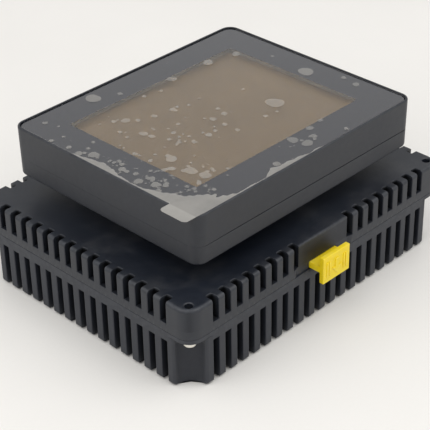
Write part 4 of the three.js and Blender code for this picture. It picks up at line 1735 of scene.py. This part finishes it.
    def build(self, finishes: Finishes) -> None:
        """Builds both shells with their bosses, holes and gate mark."""
        _, centre, _, bottom = self._frame()
        low, _ = extent("front_bezel")
        _, back_high = extent("display_back_shell")
        x, y, radius = self.boss
        places = four_places(x, y, centre)
        front = to_object("front_bezel_shell", self.bezel())
        bosses = [turned([(radius, low[2]), (radius, self.ledge_low + 0.4)], 20, place) for place in places]
        combine(front, bosses + [self.gate_mark()], Operation.JOIN)
        threads = [turned([(1.25, low[2] - 1), (1.25, self.ledge_low - 1)], 16, place) for place in places]
        combine(front, threads, Operation.CUT)
        finish_piece(front, Body.DISPLAY, finishes.bezel, ["front_bezel"])
        back = to_object("back_shell", self.back())
        floor = bottom + self.back_wall
        posts = [turned([(radius, floor - 1), (radius, back_high[2])], 20, place) for place in places]
        combine(back, posts, Operation.JOIN)
        seats = [
            turned([(2.5, bottom - 1), (2.5, bottom + 2.0), (1.4, bottom + 2.01), (1.4, 60.0)], 24, place)
            for place in places
        ]
        key_low, key_high = extent("rotation_key")
        gap = self.key_gap
        slot = box_surface(key_low - [gap, 2.0, 5.0], key_high + [gap, gap, gap], 0.1, 2)
        combine(back, seats + [slot], Operation.CUT)
        finish_piece(back, Body.DISPLAY, finishes.bezel, ["display_back_shell"])


@dataclass
class TouchFront:
    """The touch overlay with its printed border and clear window, and the foam behind it."""

    sunk: float = 0.22
    wider: float = 0.45
    window: tuple = (36.3, 27.7)
    window_corner: float = 0.6
    edge: float = 0.15
    undercut: float = 1.15
    pane: float = 0.25
    foam_window: tuple = (37.5, 28.85)
    foam_outer: tuple = (37.9, 29.2)

    def sheet_ring(self, half: np.ndarray, radius: float, centre: tuple, levels: Sequence[tuple]) -> list:
        """Stacks rectangle rings for a list of heights and insets."""
        return [ring_at(rectangle(half[0] - d, half[1] - d, max(radius - d, 0.05), centre), z) for z, d in levels]

    def build(self, finishes: Finishes) -> None:
        """Builds the border, the window and the foam ring."""
        low, high = extent("touch_overlay")
        half, centre = (high - low)[:2] / 2 + self.wider, tuple((low + high)[:2] / 2)
        bottom, top, soft = low[2] - self.sunk, high[2] - self.sunk, self.edge
        outside = [(bottom, 0.0), (top - soft, 0.0), (top - soft * 0.3, soft * 0.3), (top, soft), (top, 0.4)]
        rings = self.sheet_ring(half, 3.3, centre, outside)
        opening = np.array(self.window)
        rings += self.sheet_ring(opening, self.window_corner, centre, [(top, 0.0), (bottom, -self.undercut)])
        edge = [[0.0], [0.3], [0.8], [0.3], [0.0], [0.0], [0.0]]
        border = to_object("overlay_border", loft(rings, True, {"edge": edge}))
        finish_piece(border, Body.DISPLAY, finishes.border, ["touch_overlay"], 30.0)
        levels = [(top - self.pane, 0.02), (top - 0.003, 0.02)]
        pane_rings = self.sheet_ring(opening, self.window_corner, centre, levels)
        pane = to_object("overlay_window", loft(pane_rings, False))
        finish_piece(pane, Body.DISPLAY, finishes.window, (), 30.0)
        _, screen_high = extent("lcd_panel")
        inner, outer = np.array(self.foam_window), np.array(self.foam_outer)
        floor, roof = screen_high[2] + 0.03, bottom - 0.03
        waist = (floor + roof) / 2
        foam_rings = self.sheet_ring(outer, 0.5, centre, [(floor, 0.0), (waist, -0.03), (roof, 0.0)])
        foam_rings += self.sheet_ring(inner, 0.4, centre, [(roof, 0.0), (waist, 0.06), (floor, 0.0)])
        foam = to_object("screen_foam", loft(foam_rings, True, {"edge": [[0.1]] * 6}))
        finish_piece(foam, Body.DISPLAY, finishes.foam, (), 50.0)


@dataclass
class PeelFilm:
    """The peel-off film over the front: air bubbles, lifted edges and a pull tab.

    Attributes:
        thick: the film's thickness.
        rest: height of its top where it sticks.
        rise: how high it lifts over air.
        pitch: spacing of its grid.
        round_corner: radius of its corners.
        tab_out: how far the tab stands out.
        tab_from: where the tab starts along Y.
        tab_corner: radius of the tab's corners.
        large: bubbles given one by one as x, y, radius.
        clusters: bubble swarms as x, y, spread along x and y, count, largest radius.
    """

    thick: float = 0.06
    rest: float = 53.31
    rise: float = 0.1
    pitch: float = 0.43
    round_corner: float = 2.6
    tab_out: float = 4.6
    tab_from: float = 28.9
    tab_corner: float = 1.6
    large: tuple = (
        (-41.0, 3.0, 2.6), (-18.0, 10.0, 2.9), (-4.0, 30.0, 1.7), (-5.5, 34.5, 1.8), (-10.0, 33.0, 1.2),
        (-13.0, 29.0, 1.2), (10.0, 36.0, 1.2), (-35.0, -23.0, 1.5), (-24.0, -25.5, 1.8), (-45.0, 21.0, 1.2),
        (-46.0, 15.0, 0.9), (3.0, 3.0, 1.1), (-2.0, 3.0, 1.0), (3.0, 8.0, 0.9), (29.0, 25.0, 1.8),
        (-19.0, 28.0, 1.0), (19.0, -35.0, 2.5), (11.0, -31.0, 0.9), (-7.5, -26.0, 1.6), (40.0, -34.0, 0.9),
        (46.0, -24.0, 0.8), (45.0, -17.0, 0.9), (43.0, -8.0, 1.7), (45.5, -12.0, 1.2), (22.0, -16.5, 1.4),
        (24.0, -6.0, 1.2), (14.0, -12.0, 1.0), (7.0, -11.0, 1.0), (11.0, 9.0, 1.1), (29.0, 11.0, 1.7),
        (33.0, 15.0, 1.2), (30.0, 20.0, 1.9), (43.0, 4.5, 1.1), (44.5, 13.0, 1.4), (42.5, 18.0, 1.4),
    )
    clusters: tuple = (
        (40.0, 19.0, 3.0, 7.0, 46, 1.0), (30.0, 22.0, 5.0, 5.0, 30, 0.9), (43.0, 4.0, 2.2, 7.0, 24, 0.9),
        (15.0, -4.0, 12.0, 8.0, 62, 0.95), (26.0, 3.0, 8.0, 9.0, 30, 0.9), (-5.0, 32.0, 8.0, 3.0, 10, 0.8),
        (-30.0, -8.0, 10.0, 20.0, 9, 0.6), (36.0, 30.0, 4.0, 3.0, 12, 0.8), (43.0, -26.0, 2.0, 8.0, 6, 0.7),
    )
    left_edge: tuple = (
        (-15.0, -12.0, -7.0, -2.0, 3.0, 6.0, 12.0, 17.0, 22.0, 28.0, 32.0, 36.0, 39.5),
        (0.0, 0.7, 1.8, 3.0, 2.2, 1.2, 0.6, 1.0, 3.0, 5.8, 9.8, 13.0, 20.0),
    )
    right_edge: tuple = (
        (-9.0, -5.0, -1.0, 3.0, 8.0, 13.0, 15.5, 18.0, 24.0, 30.0, 34.0, 48.0),
        (0.0, 0.9, 0.5, 1.7, 2.0, 2.9, 2.2, 0.4, 0.8, 0.7, 2.8, 3.0),
    )

    def rows(self, low: float, high: float) -> np.ndarray:
        """Lists the grid's rows along Y: even steps, with finer ones at the corners and at the tab.

        Args:
            low: the film's lowest y.
            high: its highest y.

        Returns:
            Rising places along Y.
        """
        bend = 1 - np.cos(np.linspace(0, math.pi / 2, 9))
        start = self.tab_from
        near = np.concatenate([start + self.tab_corner * bend, start - 0.6 * bend, [start - 0.02]])
        even = np.arange(low + self.round_corner, high - self.tab_corner, self.pitch)
        places = np.concatenate([even, low + self.round_corner * bend, high - self.tab_corner * bend, near])
        places = np.sort(places)
        return places[np.concatenate([[True], np.diff(places) > 0.012])]

    def right_side(self, y: np.ndarray, edge: float, high: float) -> np.ndarray:
        """Gives the film's right edge: a corner arc at the start, then the tab with two round corners.

        An arc of radius r ends at distance r - sqrt(r^2 - t^2) inside the straight edge, t being how
        far a row lies past the arc's start.
        """
        start, small = self.tab_from, 0.6
        tab = edge + self.tab_out
        radius = self.tab_corner
        first = np.clip(start + radius - y, 0, radius)
        last = np.clip(y - (high - radius), 0, radius)
        outside = tab - 2 * radius + np.sqrt(radius**2 - first**2) + np.sqrt(radius**2 - last**2)
        blend = np.clip(y - (start - small), 0, small)
        inside = edge + small - np.sqrt(small**2 - blend**2)
        return np.where(y >= start, outside, inside)

    def bubbles(self, x: np.ndarray, y: np.ndarray) -> np.ndarray:
        """Gives a field that is above 0.5 inside the bubbles.

        For a bubble of radius r about (a, b) it is 0.5 + (r w - d) / 2, with d the distance from (a, b)
        and w a sum of two small sines of the angle. The greatest value counts.

        Args:
            x: places along X.
            y: places along Y.

        Returns:
            The field, from 0 to 1.
        """
        random = np.random.default_rng(SEED)
        rows = [list(row) for row in self.large]
        for a, b, spread_x, spread_y, count, largest in self.clusters:
            centre = random.normal((a, b), (spread_x, spread_y), (count, 2))
            size = 0.25 + (largest - 0.25) * random.random((count, 1)) ** 2.2
            rows += np.hstack([centre, size]).tolist()
        mask = np.zeros_like(x)
        for a, b, radius in rows:
            near = (np.abs(x - a) < radius + 1.5) & (np.abs(y - b) < radius + 1.5)
            dx, dy = x[near] - a, y[near] - b
            angle = np.arctan2(dy, dx)
            phase = random.uniform(0, 2 * math.pi, 2)
            wobble = 1 + 0.08 * np.sin(2 * angle + phase[0]) + 0.05 * np.sin(3 * angle + phase[1])
            mask[near] = np.maximum(mask[near], 0.5 + (radius * wobble - np.hypot(dx, dy)) / 2)
        return np.clip(mask, 0, 1)

    def lifted(self, x: np.ndarray, y: np.ndarray, edge: float, back: float) -> np.ndarray:
        """Gives a field that is above 0.5 where an edge has come loose.

        A point counts when it is nearer to the edge than a width that varies along it.

        Args:
            x: places along X.
            y: places along Y.
            edge: the film's straight right edge.
            back: its far edge along Y.

        Returns:
            The field, from 0 to 1.
        """
        ragged = 0.35 * np.sin(1.2 * y + 0.5 * x) + 0.2 * np.sin(2.6 * y - 1.1 * x)
        left = np.interp(y, *self.left_edge) * (1 + 0.2 * ragged)
        right = np.interp(x, *self.right_edge) * (1 + 0.12 * np.sin(1.1 * x))
        inner = np.maximum(left - (edge - x), right - (back - y))
        return np.clip(0.5 + inner / 2, 0, 1)

    def surface(self) -> Surface:
        """Builds the film as a grid on top, the same grid below and a rim that joins them."""
        low, high = extent("protective_film")
        edge = high[0] - self.tab_out
        y = self.rows(low[1], high[1])
        across = np.linspace(0.0, 1.0, int((edge - low[0]) / self.pitch))
        radius = self.round_corner
        end = np.clip(np.maximum(low[1] + radius - y, y - (high[1] - radius)), 0, radius)
        bend = radius - np.sqrt(radius**2 - end**2)
        near = np.clip(low[1] + radius - y, 0, radius)
        left = low[0] + bend
        right = self.right_side(y, edge, high[1]) - (radius - np.sqrt(radius**2 - near**2))
        x = left[:, None] + (right - left)[:, None] * across[None, :]
        rows = np.broadcast_to(y[:, None], x.shape)
        bubbles = self.bubbles(x, rows)
        lifted = self.lifted(x, rows, edge, high[1])
        air = np.maximum(smooth_step(bubbles, 0.35, 0.7), smooth_step(lifted, 0.35, 0.7))
        tab_rows = smooth_step(rows, self.tab_from - 3.0, self.tab_from + 0.5)
        climb = smooth_step(x, edge - 5.0, edge - 0.6) * tab_rows
        floor = self.rest + self.rise * air + 0.012 * np.sin(0.31 * x + 0.2 * rows)
        top = np.maximum(floor, floor + (high[2] - 0.012 - floor) * climb)
        count_y, count_x = x.shape
        upper = np.stack([x, rows, top], axis=-1).reshape(-1, 3)
        lower = upper - [0.0, 0.0, self.thick * 0.95]
        number = np.arange(count_y * count_x).reshape(count_y, count_x)
        corners = [number[:-1, :-1], number[:-1, 1:], number[1:, 1:], number[1:, :-1]]
        quads = np.stack(corners, -1).reshape(-1, 4)
        border = np.concatenate([number[0, :-1], number[:-1, -1], number[-1, :0:-1], number[:0:-1, 0]])
        following = np.roll(border, -1)
        shift = count_y * count_x
        rim = np.stack([border + shift, following + shift, following, border], -1)
        faces = quads.tolist() + (quads[:, ::-1] + shift).tolist() + rim.tolist()
        outline = np.zeros(x.shape)
        outline[[0, -1], :] = 1.0
        outline[:, [0, -1]] = 1.0
        tab = smooth_step(x, edge - 0.6, edge + 0.3)
        fields = {"bubbles": bubbles, "lifted": lifted, "edge": outline, "tab": tab}
        masks = {name: np.tile(values.ravel(), 2) for name, values in fields.items()}
        masks["upper"] = np.repeat([1.0, 0.0], x.size)
        return Surface(np.concatenate([upper, lower]), faces, masks)

    def build(self, finishes: Finishes) -> None:
        """Builds the film."""
        film = to_object("peel_film", self.surface())
        finish_piece(film, Body.DISPLAY, finishes.film, ["protective_film"], 60.0)


# ---------------------------------------------------------------- studio
def bearing(azimuth: float, elevation: float) -> Vector:
    """Gives the unit direction at a bearing from the -Y side and a height angle, in degrees."""
    az, el = math.radians(azimuth), math.radians(elevation)
    return Vector((math.sin(az) * math.cos(el), -math.cos(az) * math.cos(el), math.sin(el)))


@dataclass
class Studio:
    """The floor, the lights and the camera.

    Attributes:
        aim: the point that the camera looks at, in millimetres.
        distance: its distance from there.
        azimuth: its bearing in degrees, 0 being the -Y side.
        elevation: its height angle in degrees.
        roll: its turn about its own axis in degrees.
        lens: focal length over a 36 mm sensor.
    """

    aim: tuple = (10.859, 10.833, 25.0)
    distance: float = 463.93
    azimuth: float = 134.617
    elevation: float = 32.478
    roll: float = 1.079
    lens: float = 123.08
    floor_size: float = 2400.0
    floor_drop: float = 0.02
    lamp_distance: float = 900.0
    floor_colour: Colour = (0.86, 0.84, 0.805)
    sky: float = 0.65

    def camera(self) -> None:
        """Places the camera on its bearing, looking at the aim."""
        az, roll = math.radians(self.azimuth), math.radians(self.roll)
        outward = bearing(self.azimuth, self.elevation)
        level = Vector((math.cos(az), math.sin(az), 0.0))
        down = (-outward).cross(level)
        right = level * math.cos(roll) + down * math.sin(roll)
        up = -(down * math.cos(roll) - level * math.sin(roll))
        turn = Matrix((right, up, outward)).transposed().to_4x4()
        data = bpy.data.cameras.new("studio_camera")
        data.lens = self.lens
        data.sensor_width = 36.0
        camera = bpy.data.objects.new("studio_camera", data)
        place = (Vector(self.aim) + outward * self.distance) * MM
        camera.matrix_world = Matrix.Translation(place) @ turn
        bpy.context.scene.collection.objects.link(camera)
        bpy.context.scene.camera = camera

    def floor(self) -> None:
        """Lays the pale floor, with a faint grain."""
        half = self.floor_size / 2
        corners = ring_at(half * np.array([[-1, -1], [1, -1], [1, 1], [-1, 1]]), -self.floor_drop)
        plane = to_object("studio_floor", Surface(corners, [[0, 1, 2, 3]]))
        material, tree, shader = start_material("studio_paper")
        where = tree.place()
        grain = tree.noise(where, 0.8, 5.0, 0.6)
        cloud = tree.noise(where, 0.012, 3.0)
        tone = tree.plus(tree.times(grain, 0.25), tree.times(cloud, 0.75))
        dark, pale = scaled(self.floor_colour, 0.975), opaque(self.floor_colour)
        colour = tree.mix(tree.span(tone, 0.35, 0.65), dark, pale)
        tree.feed(shader, {"Base Color": colour, "Roughness": 0.8, "Specular IOR Level": 0.2})
        plane.data.materials.append(material)

    def light(self, name: str, azimuth: float, elevation: float, power: float, size: float) -> None:
        """Adds one square soft light that looks at the aim.

        Args:
            name: its name.
            azimuth: bearing in degrees, as the camera's.
            elevation: height angle in degrees.
            power: watts.
            size: side length in millimetres.
        """
        outward = bearing(azimuth, elevation)
        data = bpy.data.lights.new(name, "AREA")
        data.energy = power
        data.size = size * MM
        lamp = bpy.data.objects.new(name, data)
        lamp.location = (Vector(self.aim) + outward * self.lamp_distance) * MM
        lamp.rotation_euler = outward.to_track_quat("Z", "Y").to_euler()
        bpy.context.scene.collection.objects.link(lamp)

    def build(self) -> None:
        """Builds the studio."""
        world = bpy.data.worlds.new("studio_sky")
        world.use_nodes = True
        sky = world.node_tree.nodes["Background"]
        sky.inputs["Color"].default_value = (1.0, 1.0, 1.0, 1.0)
        sky.inputs["Strength"].default_value = self.sky
        scene = bpy.context.scene
        scene.world = world
        scene.view_settings.view_transform = "Standard"
        self.floor()
        self.light("key_light", 205.0, 55.0, 2.8, 700.0)
        self.light("fill_light", 80.0, 50.0, 3.6, 900.0)
        self.camera()
        LOG.info("studio ready")


def main() -> None:
    """Builds the panel piece by piece."""
    logging.basicConfig(level=logging.INFO, format="%(name)s %(message)s")
    Studio().build()
    finishes = Finishes()
    LowerHousing().build(finishes)
    TopCover().build(finishes)
    Screws("cover_screw", 4, 0.85, 0.9).build(finishes, Body.CONTROLLER)
    LockSlide().build(finishes)
    Electronics().build(finishes)
    Neck().build(finishes)
    DisplayShells().build(finishes)
    Screws("display_screw", 4, 0.8, 0.8).build(finishes, Body.DISPLAY)
    TouchFront().build(finishes)
    PeelFilm().build(finishes)


if __name__ == "__main__":
    main()
